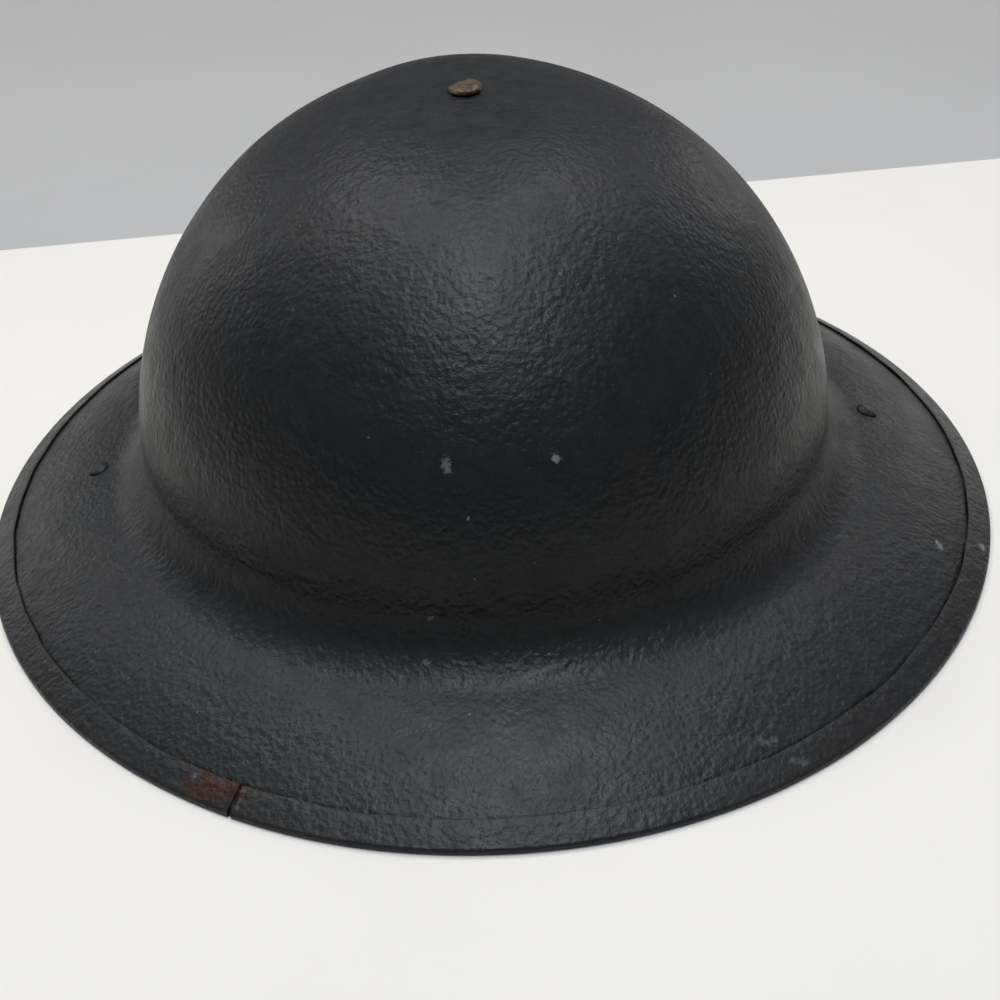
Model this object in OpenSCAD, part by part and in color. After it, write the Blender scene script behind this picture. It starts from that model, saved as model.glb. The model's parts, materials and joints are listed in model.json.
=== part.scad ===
/* [Shell] */
// Width of the helmet across the rim
rim_w = 292; // [280:1:304]
// Length over width of the rim, seen from above
plan_ratio = 1.06; // [1.04:0.01:1.08]
// Height of the crown above the table
shell_h = 123; // [117:1:130]
// Outside width of the bowl where its wall stands upright
bowl_w = 197; // [195:1:201]
// Thickness of the steel
shell_t = 1; // [0.8:0.1:1.3]
// How flat the crown is, as the power of the radius (2 is an ellipse)
crown_flatness = 2.25; // [2.1:0.05:2.4]
// How soon the wall leans in, as the power of the height
wall_lean = 1.8; // [1.65:0.05:1.95]
// Outside radius of the turn from the bowl into the brim
foot_r = 17; // [16:0.5:19]
// Slope of the brim where it leaves the bowl, in degrees
brim_slope_in = 16; // [14:1:18]
// Slope of the brim at the rim, in degrees
brim_slope_out = 29; // [27:1:31]

/* [Rim band] */
// Thickness of the folded strip
band_t = 0.5; // [0.4:0.1:0.7]
// Width of the strip on each face of the brim
band_w = 6.5; // [5:0.5:7.5]
// Gap where the two ends of the strip meet
band_joint = 0.8; // [0.4:0.1:1.5]
// Angle of that joint round the rim, in degrees from the right-hand side
band_joint_angle = 237; // [225:1:250]

/* [Crown rivet] */
// Diameter of the rivet's outside head
crown_head_d = 9; // [7:0.5:10]
// Height of the rivet's outside head
crown_head_h = 2.4; // [1.8:0.1:3]
// Diameter of the rivet's shank
crown_shank_d = 4; // [3.5:0.1:4.5]
// Diameter of the washer under the liner
crown_washer_d = 18; // [16:1:22]
// Thickness of that washer
crown_washer_t = 0.9; // [0.7:0.1:1.2]
// Diameter of the head clenched over the washer
clench_d = 8; // [7:0.5:10]
// Height of that clenched head
clench_h = 1.6; // [1.2:0.1:2]

/* [Liner] */
// Diameter of each rubber buffer tube
tube_d = 9.5; // [8.5:0.5:10]
// Diameter of the tube's bore
tube_bore_d = 5; // [4:0.5:6]
// Length of each tube
tube_l = 30; // [26:1:32]
// Height of the lower end of the tubes above the table
tube_z = 10; // [9:1:12]
// Thickness of the outer band of the liner
liner_band_t = 1.6; // [1.2:0.1:2]
// Height of the outer band of the liner
liner_band_h = 34; // [32:1:38]
// Height of its lower edge above the table
liner_band_z = 12; // [11.5:0.5:13]
// Thickness of the sweatband
sweatband_t = 1.4; // [1:0.1:1.8]
// Height of the sweatband
sweatband_h = 34; // [30:1:34]
// Thickness of the strip that holds the tubes
buffer_strap_t = 1; // [0.8:0.1:1.3]
// Height of the strip that holds the tubes
buffer_strap_h = 14; // [10:1:18]
// Thickness of the crown pad at its edge
pad_edge_t = 4; // [3:0.5:6]
// Width of the crown pad
pad_d = 64; // [56:1:72]
// Width of the hole in the crown pad
pad_hole_d = 22; // [21:1:26]
// Thickness of the two crown straps
crown_strap_t = 1.6; // [1.2:0.1:1.8]
// Width of the crown straps
crown_strap_w = 28; // [24:1:30]
// Length of each strap's end inside the band
strap_tab_l = 20; // [16:1:24]
// Diameter of the heads of the small rivets that join straps and band
band_rivet_d = 5; // [4.5:0.5:6]
// Thickness of those heads
band_rivet_h = 0.6; // [0.5:0.1:0.8]

/* [Head net] */
// Thickness of the net's twine
twine_d = 2; // [1.6:0.1:2.4]
// Height of the net from the top of the band to its gathered ring
net_rise = 36; // [30:1:42]
// Diameter of the ring that the drawcord gathers
gather_d = 30; // [24:1:36]
// Diameter of the drawcord
drawcord_d = 3; // [2.5:0.1:3.5]

/* [Chinstrap bales] */
// Distance of each side rivet from the bowl, where its wall stands upright
side_rivet_out = 16; // [15.5:0.5:17.5]
// How far the left rivet sits behind the middle, and the right one in front of it
side_skew = 4; // [0:0.5:5]
// Diameter of the side rivets' heads
side_head_d = 6.5; // [6:0.5:8]
// Height of the side rivets' heads
side_head_h = 1.3; // [1:0.1:1.6]
// Diameter of the side rivets' shanks
side_shank_d = 3; // [2.5:0.1:3.5]
// Thickness of the bale clips
clip_t = 1; // [0.8:0.1:1.2]
// Width of the bale clips
clip_w = 12; // [10:1:14]
// Distance from the side rivet to the bale's pivot
clip_l = 13; // [12.5:0.5:14]
// Diameter of the bale's wire
bale_wire_d = 3; // [2.6:0.1:3.2]
// Angle at which the bales hang while the straps lie on the table, in degrees
bale_rest_angle = 46.4; // [43:0.2:51]
// Room inside the bale beyond the strap's width
bale_side_gap = 1; // [0.5:0.1:1.5]

/* [Chinstrap] */
// Width of the leather
strap_w = 19; // [16:1:20]
// Thickness of the leather
strap_t = 2; // [1.6:0.1:2.2]
// Distance from the middle of the helmet to the bar that holds the buckle
buckle_from_middle = 19.2; // [15.2:0.5:23.2]
// Distance from the middle of the helmet to where the right strap starts to curl
curl_from_middle = 41.2; // [39.2:0.5:45.2]
// Radius at which the right half starts to curl up
curl_r = 28; // [26:1:29]
// How much smaller that radius gets with each quarter turn
curl_step = 4; // [3:0.5:5]
// Length of the straight tip past the curl
tail_l = 24; // [20:1:26]
// Length that each end is folded back round its bar
fold_l = 22; // [20:1:24]
// Diameter of the tongue holes
hole_d = 4; // [3:0.5:5]
// Distance of the first tongue hole from the tip
first_hole = 15; // [14:1:18]
// Distance between the tongue holes
hole_pitch = 12; // [10:1:13]
// Number of tongue holes
hole_count = 6; // [5:1:6]
// Diameter of the strap rivets' heads
strap_rivet_d = 5.5; // [5:0.5:6]
// Thickness of the strap rivets' heads
strap_rivet_h = 0.8; // [0.6:0.1:1]

/* [Buckle] */
// Diameter of the buckle's wire
buckle_wire_d = 2.6; // [2.2:0.1:2.8]
// Length of the buckle between its bars
buckle_l = 18; // [16:1:20]
// Outside diameter of the roller
roller_d = 4.4; // [4.2:0.1:5]
// Thickness of the tongue
tongue_t = 2; // [1.6:0.1:2.4]
// Width of the tongue
tongue_w = 3; // [2.6:0.1:3.2]
// Thickness of the leather keeper
keeper_t = 1.2; // [1:0.1:1.3]
// Width of the keeper along the strap
keeper_w = 8; // [6:1:9]

/* [Hidden] */
// Running clearance between a bar and what turns on it
run_gap = 0.1;
// Gap between pieces that are pressed or sewn together
seat_gap = 0.2;
// Gap between pieces that may move past each other
free_gap = 0.3;
// Clearance round rivet shanks
rivet_gap = 0.05;
// Width of the flat worn under the rim where the helmet stands
worn_flat = 0.8;
// How far the keeper's under side stays above the table
table_gap = 0.2;
// Play of the leather folded round a bar
fold_play = 0.25;
// Play of the keeper round the strap
keeper_play = 0.3;
// Overlap that joins two runs of one piece
join = 0.05;
// Gap between the two layers of a fold
layer_gap = 0.05;
// Length over which a folded end slopes down onto the strap
fold_slope = 10;
// Radius of the bends at the corners of the bales and the buckle
wire_bend_r = 2.2;
// Diameter of the shanks of the small rivets
small_shank_d = 2.4;
// Gap between the clips and the under side of the brim
clip_gap = 0.5;
// Leather left between a strap rivet's head and the end of the fold
rivet_edge = 1.5;
// Gap between the keeper and the fold next to it
keeper_gap = 1;
// How far the tongue reaches past the roller
tongue_past = 0.8;
// Length of the tongue's slot beyond the leather round the heel bar
slot_extra = 5;
// Room on each side of the tongue in its slot
slot_side = 0.5;
tube_count = 12;

TUBES = [for (i = [1 : tube_count]) str("buffer_tube_", i < 10 ? "0" : "", i)];

paint = [0.15, 0.16, 0.16];
bare_steel = [0.42, 0.40, 0.38];
brass = [0.72, 0.58, 0.32];
felt = [0.45, 0.42, 0.36];
oilcloth = [0.09, 0.09, 0.10];
rubber = [0.20, 0.17, 0.16];
twine = [0.78, 0.72, 0.58];
leather = [0.40, 0.24, 0.13];

// A derived length at which runs of one piece meet, rounded so that they meet exactly.
round_to = 0.01;
function rounded(x) = round(x / round_to) * round_to;

// The brim's edge inside the folded band, and the bend's own radii.
slot_r = shell_t / 2 + seat_gap;
bend_r = slot_r + band_t;
edge_r = rim_w / 2 - bend_r;
// The straight end of the brim, long enough for the band to grip.
brim_straight = band_w + 1;
// The bend's centre lies on the middle of the sheet, low enough to leave the worn flat.
bend_z = sqrt(bend_r * bend_r - worn_flat * worn_flat / 4);
// The brim's outer surface at its edge.
rim_top = [edge_r + shell_t / 2 * sin(brim_slope_out), bend_z + shell_t / 2 * cos(brim_slope_out)];

bowl_r = bowl_w / 2;
// The plan is an oval of four arcs. The front and back arcs have their centres on the Y axis,
// and the side arcs on the X axis. The same centres serve every height. They form 3, 4, 5
// triangles, so the arcs meet in exact planes. A round unit keeps those planes exact.
plan_unit = rounded(rim_w / 4 * (plan_ratio - 1));
side_c = 3 * plan_unit;
end_c = 4 * plan_unit;
// How much smaller the radius of the front and back arcs is than the half-width.
end_tighter = 2 * plan_unit;
// How much longer than wide every oval of the plan is, at each end.
end_extra = end_c - end_tighter;
// A round length that reaches past the rim, for the planes between the arcs.
round_step = 100;
sector_r = ceil(rim_w / round_step) * round_step;
// Sine and cosine of half the angle that a side arc turns through.
side_sine = 0.8;
side_cosine = 0.6;

// A point on the oval of half-width r, where the outward direction is at angle a.
function oval_point(r, a) =
    abs(sin(a)) <= side_sine
        ? [-sign(cos(a)) * side_c + (r + side_c) * cos(a), (r + side_c) * sin(a)]
        : [(r - end_tighter) * cos(a), sign(sin(a)) * end_c + (r - end_tighter) * sin(a)];

// Where the straight end of the brim starts.
straight_start = rim_top - brim_straight * [cos(brim_slope_out), -sin(brim_slope_out)];
// Where the turn from the bowl ends and the brim starts.
foot_x = bowl_r + foot_r * (1 - sin(brim_slope_in));
brim_r = (straight_start[0] - foot_x) / (sin(brim_slope_out) - sin(brim_slope_in));
foot_z = straight_start[1] + brim_r * (cos(brim_slope_in) - cos(brim_slope_out));
// The height at which the bowl's wall stands upright.
wall_z = foot_z + foot_r * cos(brim_slope_in);
dome_h = shell_h - wall_z;

// Height of the bowl's outer surface at a radius.
function dome_z(r) =
    wall_z + dome_h * pow(1 - pow(min(r / bowl_r, 1), crown_flatness), 1 / wall_lean);
// Radius of the bowl's outer surface at a height.
function dome_x(z) =
    bowl_r * pow(1 - pow((z - wall_z) / dome_h, wall_lean), 1 / crown_flatness);

dome_steps = 18;
foot_steps = 6;
brim_steps = 5;
dome_points = [for (i = [0 : dome_steps - 1])
    let (r = bowl_r * sin(90 * i / dome_steps)) [r, dome_z(r)]];
foot_points = [for (i = [0 : foot_steps - 1])
    let (a = 180 + (90 - brim_slope_in) * i / foot_steps)
    [bowl_r + foot_r + foot_r * cos(a), wall_z + foot_r * sin(a)]];
brim_points = [for (i = [0 : brim_steps])
    let (a = brim_slope_in + (brim_slope_out - brim_slope_in) * i / brim_steps)
    [foot_x + brim_r * (sin(a) - sin(brim_slope_in)),
     foot_z - brim_r * (cos(brim_slope_in) - cos(a))]];
outer_points = concat(dome_points, foot_points, brim_points, [rim_top]);

// The direction square to the outer surface at a point of the profile, pointing inside.
function inward(points, i) =
    let (a = points[max(i - 1, 0)],
         b = points[min(i + 1, len(points) - 1)],
         d = (b - a) / norm(b - a))
    i == 0 ? [0, -1] : [d[1], -d[0]];
inner_points = [for (i = [0 : len(outer_points) - 1])
    outer_points[i] + shell_t * inward(outer_points, i)];

// Height of the inner surface of the crown at a radius, a little under the true one.
function crown_under(r) = dome_z(r) - shell_t * 1.1;

// The liner keeps the same gap to the shell all round, set by the tubes.
tube_top = tube_z + tube_l;
shell_inner_x = dome_x(max(tube_top, wall_z)) - shell_t * 1.05;
liner_gap = free_gap + tube_d + free_gap + buffer_strap_t + free_gap;
liner_x = shell_inner_x - liner_gap;
tab_x = liner_x - liner_band_t - seat_gap;
tab_y = tab_x + end_extra;
// The band is curved across a strap's width, so the flat tabs sit a little further in.
function sag(r) = r - sqrt(r * r - pow(crown_strap_w / 2, 2));
cross_sag = sag(tab_x + side_c);
long_sag = sag(tab_x - end_tighter);
sweat_x = tab_x - max(cross_sag, long_sag) - crown_strap_t - band_rivet_h - 2 * seat_gap;
liner_band_top = liner_band_z + liner_band_h;
sweatband_z = liner_band_top - sweatband_h;

function tube_centre(i) =
    oval_point(liner_x + free_gap + tube_d / 2, 360 * (i + 0.5) / tube_count);

// The crown, from the shell down to the clenched end of the rivet.
pad_bottom = crown_under(pad_d / 2) - free_gap - pad_edge_t;
long_strap_top = pad_bottom - seat_gap;
// The top of each tab stays a little under the band's top, where the arc starts.
tab_drop = strap_tab_l * 0.1;
tab_top = liner_band_top - tab_drop;
tab_bottom = tab_top - strap_tab_l;
// A crown strap runs as one arc from the top of its tab over the crown.
function strap_arc_r(reach, top) =
    (reach * reach + pow(top - tab_top, 2)) / (2 * (top - tab_top));
long_reach = tab_y - long_sag;
cross_reach = tab_x - cross_sag;
// How far a strap's arc falls across half of the other strap's width.
strap_dip = pow(crown_strap_w / 2, 2) / (2 * tab_x) * 1.1;
cross_strap_top = long_strap_top - crown_strap_t - strap_dip - seat_gap;
washer_dip = pow(crown_washer_d / 2, 2) / (2 * tab_x) * 1.1;
washer_top = cross_strap_top - crown_strap_t - washer_dip - seat_gap / 2;

// The head net is an arc from the sweatband's top to the gathered ring.
net_lap = 3;
net_foot_x = sweat_x - sweatband_t - seat_gap - twine_d / 2;
net_foot_z = liner_band_top - net_lap;
gather_r = gather_d / 2;
net_arc_r = (pow(net_foot_x - gather_r, 2) + pow(net_rise, 2)) / (2 * net_rise);
net_arc_angle = asin((net_foot_x - gather_r) / net_arc_r);
net_steps = 8;
function net_point(i, out) =
    let (a = net_arc_angle * i / net_steps)
    [gather_r + (net_arc_r + out) * sin(a),
     net_foot_z + net_rise - net_arc_r + (net_arc_r + out) * cos(a)];

// The side rivet stands square to the brim, on its outer surface.
side_rivet_x = bowl_r + side_rivet_out;
rivet_slope = asin(sin(brim_slope_in) + (side_rivet_x - foot_x) / brim_r);
rivet_z = foot_z - brim_r * (cos(brim_slope_in) - cos(rivet_slope));

bale_r = bale_wire_d / 2;
clip_ri = bale_r + run_gap;
clip_ro = clip_ri + clip_t;
clip_seat = shell_t + clip_gap;
// The bale's pivot, inwards from the rivet along the brim's under side.
pivot_x = side_rivet_x - clip_l * cos(rivet_slope) - (clip_seat + clip_ro) * sin(rivet_slope);
pivot_z = rivet_z + clip_l * sin(rivet_slope) - (clip_seat + clip_ro) * cos(rivet_slope);

// The leather is folded round the bale's lower bar, and lies just clear of the table.
fold_ri = bale_r + fold_play;
fold_ro = fold_ri + strap_t;
strap_z = table_gap + keeper_t + keeper_play;
bar_z = strap_z + fold_ro;
bale_l = rounded((pivot_z - bar_z) / sin(bale_rest_angle));
bar_x = pivot_x - bale_l * cos(bale_rest_angle);
inner_w = strap_w + 2 * bale_side_gap;

buckle_r = buckle_wire_d / 2;
heel_ri = buckle_r + fold_play;
heel_ro = heel_ri + strap_t;
roller_ri = buckle_r + run_gap;
roller_r = roller_d / 2;
tongue_ri = buckle_r + run_gap;
tongue_tip_t = tongue_t * 0.6;
tongue_ro = tongue_ri + tongue_tip_t;
tongue_reach = buckle_l + roller_r + tongue_past;
strap_rivet_x = fold_l - strap_rivet_d / 2 - rivet_edge;
// Lengths of the two straps between the bale's bar and the buckle, or the curl.
left_strap_l = rounded(bar_x - buckle_from_middle);
right_strap_l = rounded(bar_x - curl_from_middle);
keeper_at = left_strap_l - fold_l - keeper_w - keeper_gap;

round_fn = 96;
wire_fn = 32;

// Turns a profile, drawn at its half-width along +X, about the four centres of the plan.
// Each of the four pieces is cut where its neighbour starts.
module oval_turn() {
    across = sector_r * side_cosine;
    along = sector_r * side_sine;
    top = 2 * shell_h;
    for (a = [0, 180])
        rotate([0, 0, a])
            intersection() {
                translate([-side_c, 0, 0])
                    rotate([0, 0, -90])
                        rotate_extrude(angle = 180, $fn = round_fn)
                            translate([side_c, 0]) children();
                translate([0, 0, -1])
                    linear_extrude(top)
                        polygon([
                            [0, -end_c], [across - side_c, -along],
                            [across - side_c, along], [0, end_c]]);
            }
    for (a = [0, 180])
        rotate([0, 0, a])
            intersection() {
                translate([0, end_c, 0])
                    rotate_extrude(angle = 180, $fn = round_fn)
                        intersection() {
                            translate([-end_tighter, 0]) children();
                            translate([0, -1]) square([rim_w, top]);
                        }
                translate([0, 0, -1])
                    linear_extrude(top)
                        polygon([
                            [0, end_c], [across, end_c + along],
                            [-across, end_c + along]]);
            }
}

// An upright oval ring, from its outer half-width inwards.
module oval_ring(outer_x, thick, z, h) {
    oval_turn()
        translate([outer_x - thick, z]) square([thick, h]);
}

// Puts its children at the right-hand side, or mirrored at the left.
module at_side(side) {
    if (side == "left")
        translate([0, side_skew, 0]) mirror([1, 0, 0]) children();
    else
        translate([0, -side_skew, 0]) children();
}

// Square to the brim at the side rivet: z = 0 is the brim's outer surface.
module at_rivet() {
    translate([side_rivet_x, 0, rivet_z])
        rotate([0, rivet_slope, 0])
            children();
}

module shell() {
    color(paint)
        difference() {
            oval_turn()
                polygon(concat(outer_points,
                    [for (i = [len(inner_points) - 1 : -1 : 0]) inner_points[i]]));
            translate([0, 0, shell_h - 4 * shell_t])
                cylinder(d = crown_shank_d + 2 * rivet_gap, h = 8 * shell_t, $fn = wire_fn);
            for (side = ["left", "right"])
                at_side(side) at_rivet()
                    translate([0, 0, -3 * shell_t])
                        cylinder(d = side_shank_d + 2 * rivet_gap, h = 6 * shell_t, $fn = wire_fn);
        }
}

// The band's section: a strip folded round the edge, seen along the rim.
module band_section() {
    translate([edge_r, bend_z])
        rotate(-brim_slope_out)
            difference() {
                union() {
                    circle(r = bend_r, $fn = wire_fn);
                    translate([-band_w, -bend_r]) square([band_w, 2 * bend_r]);
                }
                circle(r = slot_r, $fn = wire_fn);
                translate([-band_w - 1, -slot_r]) square([band_w + 1, 2 * slot_r]);
            }
}

module rim_band() {
    color(paint)
        difference() {
            oval_turn()
                difference() {
                    band_section();
                    translate([0, -bend_r]) square([rim_w, bend_r]);
                }
            rotate([0, 0, band_joint_angle])
                translate([rim_w / 2 - band_w * 2, -band_joint / 2, -1])
                    cube([band_w * 4, band_joint, band_w * 2]);
        }
}

// The rivet's outside head has a flat top and a worn edge.
module crown_rivet() {
    head_r = crown_head_d / 2;
    shank_r = crown_shank_d / 2;
    clench_top = washer_top - crown_washer_t;
    edge = 0.7;
    color(bare_steel)
        rotate_extrude($fn = round_fn)
            polygon([
                [0, shell_h + crown_head_h],
                [head_r - 1.6, shell_h + crown_head_h],
                [head_r - edge, shell_h + crown_head_h - 0.4],
                [head_r, shell_h + crown_head_h - 1],
                [head_r, shell_h + 0.8],
                [head_r - edge, shell_h + 0.2],
                [shank_r, shell_h + 0.05],
                [shank_r, clench_top],
                [clench_d / 2, clench_top],
                [clench_d / 2 - edge, clench_top - clench_h],
                [0, clench_top - clench_h]]);
}

module crown_washer() {
    color(bare_steel)
        translate([0, 0, washer_top - crown_washer_t])
            difference() {
                cylinder(d = crown_washer_d, h = crown_washer_t, $fn = round_fn);
                translate([0, 0, -1])
                    cylinder(d = crown_shank_d + 2 * rivet_gap, h = crown_washer_t + 2, $fn = wire_fn);
            }
}

// A felt ring with a flat under side, domed to fit the crown.
module crown_pad() {
    steps = 8;
    inside = pad_hole_d / 2;
    outside = pad_d / 2;
    color(felt)
        oval_turn()
            polygon(concat(
                [[inside, pad_bottom]],
                [for (i = [0 : steps])
                    let (r = inside + (outside - inside) * i / steps)
                    [r, crown_under(r) - free_gap]],
                [[outside, pad_bottom + 1], [outside - 1, pad_bottom]]));
}

// A crown strap: an arc over the crown, with a straight tab down inside the band at each end.
module crown_strap(reach, top, arc_r) {
    rotate([90, 0, 0])
        translate([0, 0, -crown_strap_w / 2])
            linear_extrude(crown_strap_w) {
                intersection() {
                    translate([0, top - arc_r])
                        difference() {
                            circle(r = arc_r, $fn = round_fn);
                            circle(r = arc_r - crown_strap_t, $fn = round_fn);
                        }
                    translate([-2 * reach, tab_top]) square([4 * reach, top]);
                }
                for (s = [-1, 1])
                    translate([s * (reach - crown_strap_t / 2) - crown_strap_t / 2, tab_bottom])
                        square([crown_strap_t, strap_tab_l + join]);
            }
}

module crown_hole(d) {
    translate([0, 0, tab_top])
        cylinder(d = d, h = shell_h, $fn = wire_fn);
}

// Four rivets join the ends of the straps to the band.
module at_band_rivets(reach_x, reach_y) {
    for (a = [0 : 90 : 270])
        rotate([0, 0, a])
            translate([a % 180 == 0 ? reach_x : reach_y, 0, (tab_top + tab_bottom) / 2])
                rotate([0, 90, 0])
                    children();
}

module band_holes() {
    at_band_rivets(cross_reach, long_reach)
        cylinder(d = small_shank_d + 2 * rivet_gap, h = liner_gap, center = true, $fn = wire_fn);
}

module crown_strap_long() {
    color(oilcloth)
        difference() {
            rotate([0, 0, 90])
                crown_strap(long_reach, long_strap_top, strap_arc_r(long_reach, long_strap_top));
            crown_hole(crown_shank_d + 2 * rivet_gap);
            band_holes();
        }
}

module crown_strap_cross() {
    color(oilcloth)
        difference() {
            crown_strap(cross_reach, cross_strap_top, strap_arc_r(cross_reach, cross_strap_top));
            crown_hole(crown_shank_d + 2 * rivet_gap);
            band_holes();
        }
}

module liner_band() {
    color(oilcloth)
        difference() {
            oval_ring(liner_x, liner_band_t, liner_band_z, liner_band_h);
            band_holes();
        }
}

module sweatband() {
    color(oilcloth) oval_ring(sweat_x, sweatband_t, sweatband_z, sweatband_h);
}

// The strip that holds the tubes against the band lies against the shell.
module buffer_strap() {
    color(oilcloth)
        oval_ring(shell_inner_x - free_gap, buffer_strap_t,
            tube_z + (tube_l - buffer_strap_h) / 2, buffer_strap_h);
}

// A rivet along its axis: heads at the two ends of the shank, the lower one at zero.
module small_rivet(head_d, head_h, grip) {
    cylinder(d = small_shank_d, h = grip + 2 * head_h, $fn = wire_fn);
    cylinder(d = head_d, h = head_h, $fn = wire_fn);
    translate([0, 0, grip + head_h]) cylinder(d = head_d, h = head_h, $fn = wire_fn);
}

module band_rivets() {
    color(bare_steel) {
        band_rivet(cross_reach, liner_x, 0);
        band_rivet(long_reach, liner_x + end_extra, 90);
        band_rivet(cross_reach, liner_x, 180);
        band_rivet(long_reach, liner_x + end_extra, 270);
    }
}

module band_rivet(reach, outer, a) {
    inner_face = reach - crown_strap_t - seat_gap / 2;
    rotate([0, 0, a])
        translate([inner_face - band_rivet_h, 0, (tab_top + tab_bottom) / 2])
            rotate([0, 90, 0])
                small_rivet(band_rivet_d, band_rivet_h, outer + seat_gap / 2 - inner_face);
}

module buffer_tube(i) {
    c = tube_centre(i);
    color(rubber)
        translate([c[0], c[1], tube_z])
            difference() {
                cylinder(d = tube_d, h = tube_l, $fn = wire_fn);
                translate([0, 0, -1])
                    cylinder(d = tube_bore_d, h = tube_l + 2, $fn = wire_fn);
            }
}

// The twine net as one thin dome, open at the gathered ring.
module head_net() {
    color(twine)
        oval_turn()
            polygon(concat(
                [for (i = [0 : net_steps]) net_point(i, twine_d / 2)],
                [for (i = [net_steps : -1 : 0]) net_point(i, -twine_d / 2)]));
}

module net_drawcord() {
    color(twine)
        oval_turn()
            translate([gather_r - free_gap - drawcord_d / 2, net_foot_z + net_rise])
                circle(d = drawcord_d, $fn = wire_fn);
}

module side_rivet(side) {
    head_r = side_head_d / 2;
    shank_r = side_shank_d / 2;
    under = -clip_seat - clip_t - rivet_gap;
    color(paint)
        at_side(side) at_rivet()
            rotate_extrude($fn = wire_fn)
                polygon([
                    [0, side_head_h],
                    [head_r * 0.55, side_head_h * 0.9],
                    [head_r * 0.85, side_head_h * 0.6],
                    [head_r, rivet_gap + 0.2],
                    [head_r, rivet_gap],
                    [shank_r, rivet_gap],
                    [shank_r, under],
                    [head_r, under],
                    [head_r * 0.8, under - side_head_h * 0.7],
                    [0, under - side_head_h * 0.8]]);
}

// A strip under the brim, rolled at its inner end into an eye for the bale.
module bale_clip(side) {
    end_l = clip_w / 2;
    color(bare_steel)
        at_side(side) at_rivet()
            difference() {
                union() {
                    translate([-clip_l, -clip_w / 2, -clip_seat - clip_t])
                        cube([clip_l, clip_w, clip_t]);
                    translate([0, 0, -clip_seat - clip_t])
                        cylinder(r = end_l, h = clip_t, $fn = wire_fn);
                    translate([-clip_l, 0, -clip_seat - clip_ro])
                        rotate([90, 0, 0])
                            cylinder(r = clip_ro, h = clip_w, center = true, $fn = wire_fn);
                }
                translate([-clip_l, 0, -clip_seat - clip_ro])
                    rotate([90, 0, 0])
                        cylinder(r = clip_ri, h = clip_w + 2, center = true, $fn = wire_fn);
                translate([0, 0, -clip_seat - 2 * clip_t])
                    cylinder(d = side_shank_d + 2 * rivet_gap, h = 4 * clip_t, $fn = wire_fn);
            }
}

// A rectangle of wire with its first bar on the Y axis and its length along +X.
module wire_loop(length, width, r) {
    bend = wire_bend_r;
    for (x = [0, length])
        translate([x, 0, 0])
            rotate([90, 0, 0])
                cylinder(r = r, h = width - 2 * bend, center = true, $fn = wire_fn);
    for (y = [-width / 2, width / 2])
        translate([bend, y, 0])
            rotate([0, 90, 0])
                cylinder(r = r, h = length - 2 * bend, $fn = wire_fn);
    for (x = [0, 1], y = [0, 1])
        translate([length / 2, 0, 0])
            mirror([x, 0, 0]) mirror([0, y, 0])
                translate([length / 2 - bend, width / 2 - bend, 0])
                    rotate_extrude(angle = 90, $fn = wire_fn)
                        translate([bend, 0]) circle(r = r, $fn = wire_fn);
}

module bale(side) {
    color(bare_steel)
        at_side(side)
            translate([pivot_x, 0, pivot_z])
                rotate([0, 180 - bale_rest_angle, 0])
                    wire_loop(bale_l, inner_w + bale_wire_d, bale_r);
}

// Turns a side view into leather of the strap's width, standing along Y.
module across_strap() {
    rotate([90, 0, 0])
        translate([0, 0, -strap_w / 2])
            linear_extrude(strap_w) children();
}

// Leather folded round a bar at the origin, with its strap along +X.
module fold(ri, ro) {
    lap = layer_gap - ri;
    across_strap()
        difference() {
            circle(r = ro, $fn = wire_fn);
            circle(r = ri, $fn = wire_fn);
            translate([join, -ro - 1]) square([ro + 1, 2 * ro + 2]);
        }
    across_strap()
        translate([0, -ro]) square([fold_l + 1, ro - ri]);
    across_strap()
        polygon([
            [0, ri], [0, ro],
            [fold_slope, lap + strap_t], [fold_l, lap + strap_t],
            [fold_l, lap], [fold_slope, lap]]);
}

// The straight run of a strap between two distances from its bar.
module run(from, to) {
    across_strap()
        translate([from, -fold_ro]) square([to - from, strap_t]);
}

// Puts its children on the bale's lower bar, with +X along the strap.
module at_bar(side) {
    at_side(side)
        translate([bar_x, 0, bar_z])
            mirror([1, 0, 0])
                children();
}

// The buckle's heel bar, in the left strap's own frame.
module at_heel() {
    translate([left_strap_l, 0, heel_ro - fold_ro]) children();
}

module strap_rivet_at(ri, ro) {
    grip = 2 * strap_t + layer_gap + seat_gap;
    translate([strap_rivet_x, 0, -ro - seat_gap / 2 - strap_rivet_h])
        small_rivet(strap_rivet_d, strap_rivet_h, grip);
}

module strap_rivet_hole() {
    translate([strap_rivet_x, 0, 0])
        cylinder(d = small_shank_d + 2 * rivet_gap, h = 4 * fold_ro, center = true, $fn = wire_fn);
}

module left_strap() {
    slot_l = heel_ro + slot_extra;
    slot_w = tongue_w + 2 * slot_side;
    color(leather)
        at_bar("left")
            difference() {
                union() {
                    fold(fold_ri, fold_ro);
                    at_heel() mirror([1, 0, 0]) fold(heel_ri, heel_ro);
                    run(fold_l, left_strap_l - fold_l);
                }
                strap_rivet_hole();
                at_heel() mirror([1, 0, 0]) strap_rivet_hole();
                at_heel()
                    translate([-slot_l + heel_ro, -slot_w / 2, -10])
                        cube([slot_l + 1, slot_w, 20]);
            }
}

module left_strap_rivets() {
    color(brass)
        at_bar("left") {
            strap_rivet_at(fold_ri, fold_ro);
            at_heel() mirror([1, 0, 0]) strap_rivet_at(heel_ri, heel_ro);
        }
}

curl_2 = curl_r - curl_step;
curl_3 = curl_r - 2 * curl_step;
curl_z = -(fold_ri + fold_ro) / 2;
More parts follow.
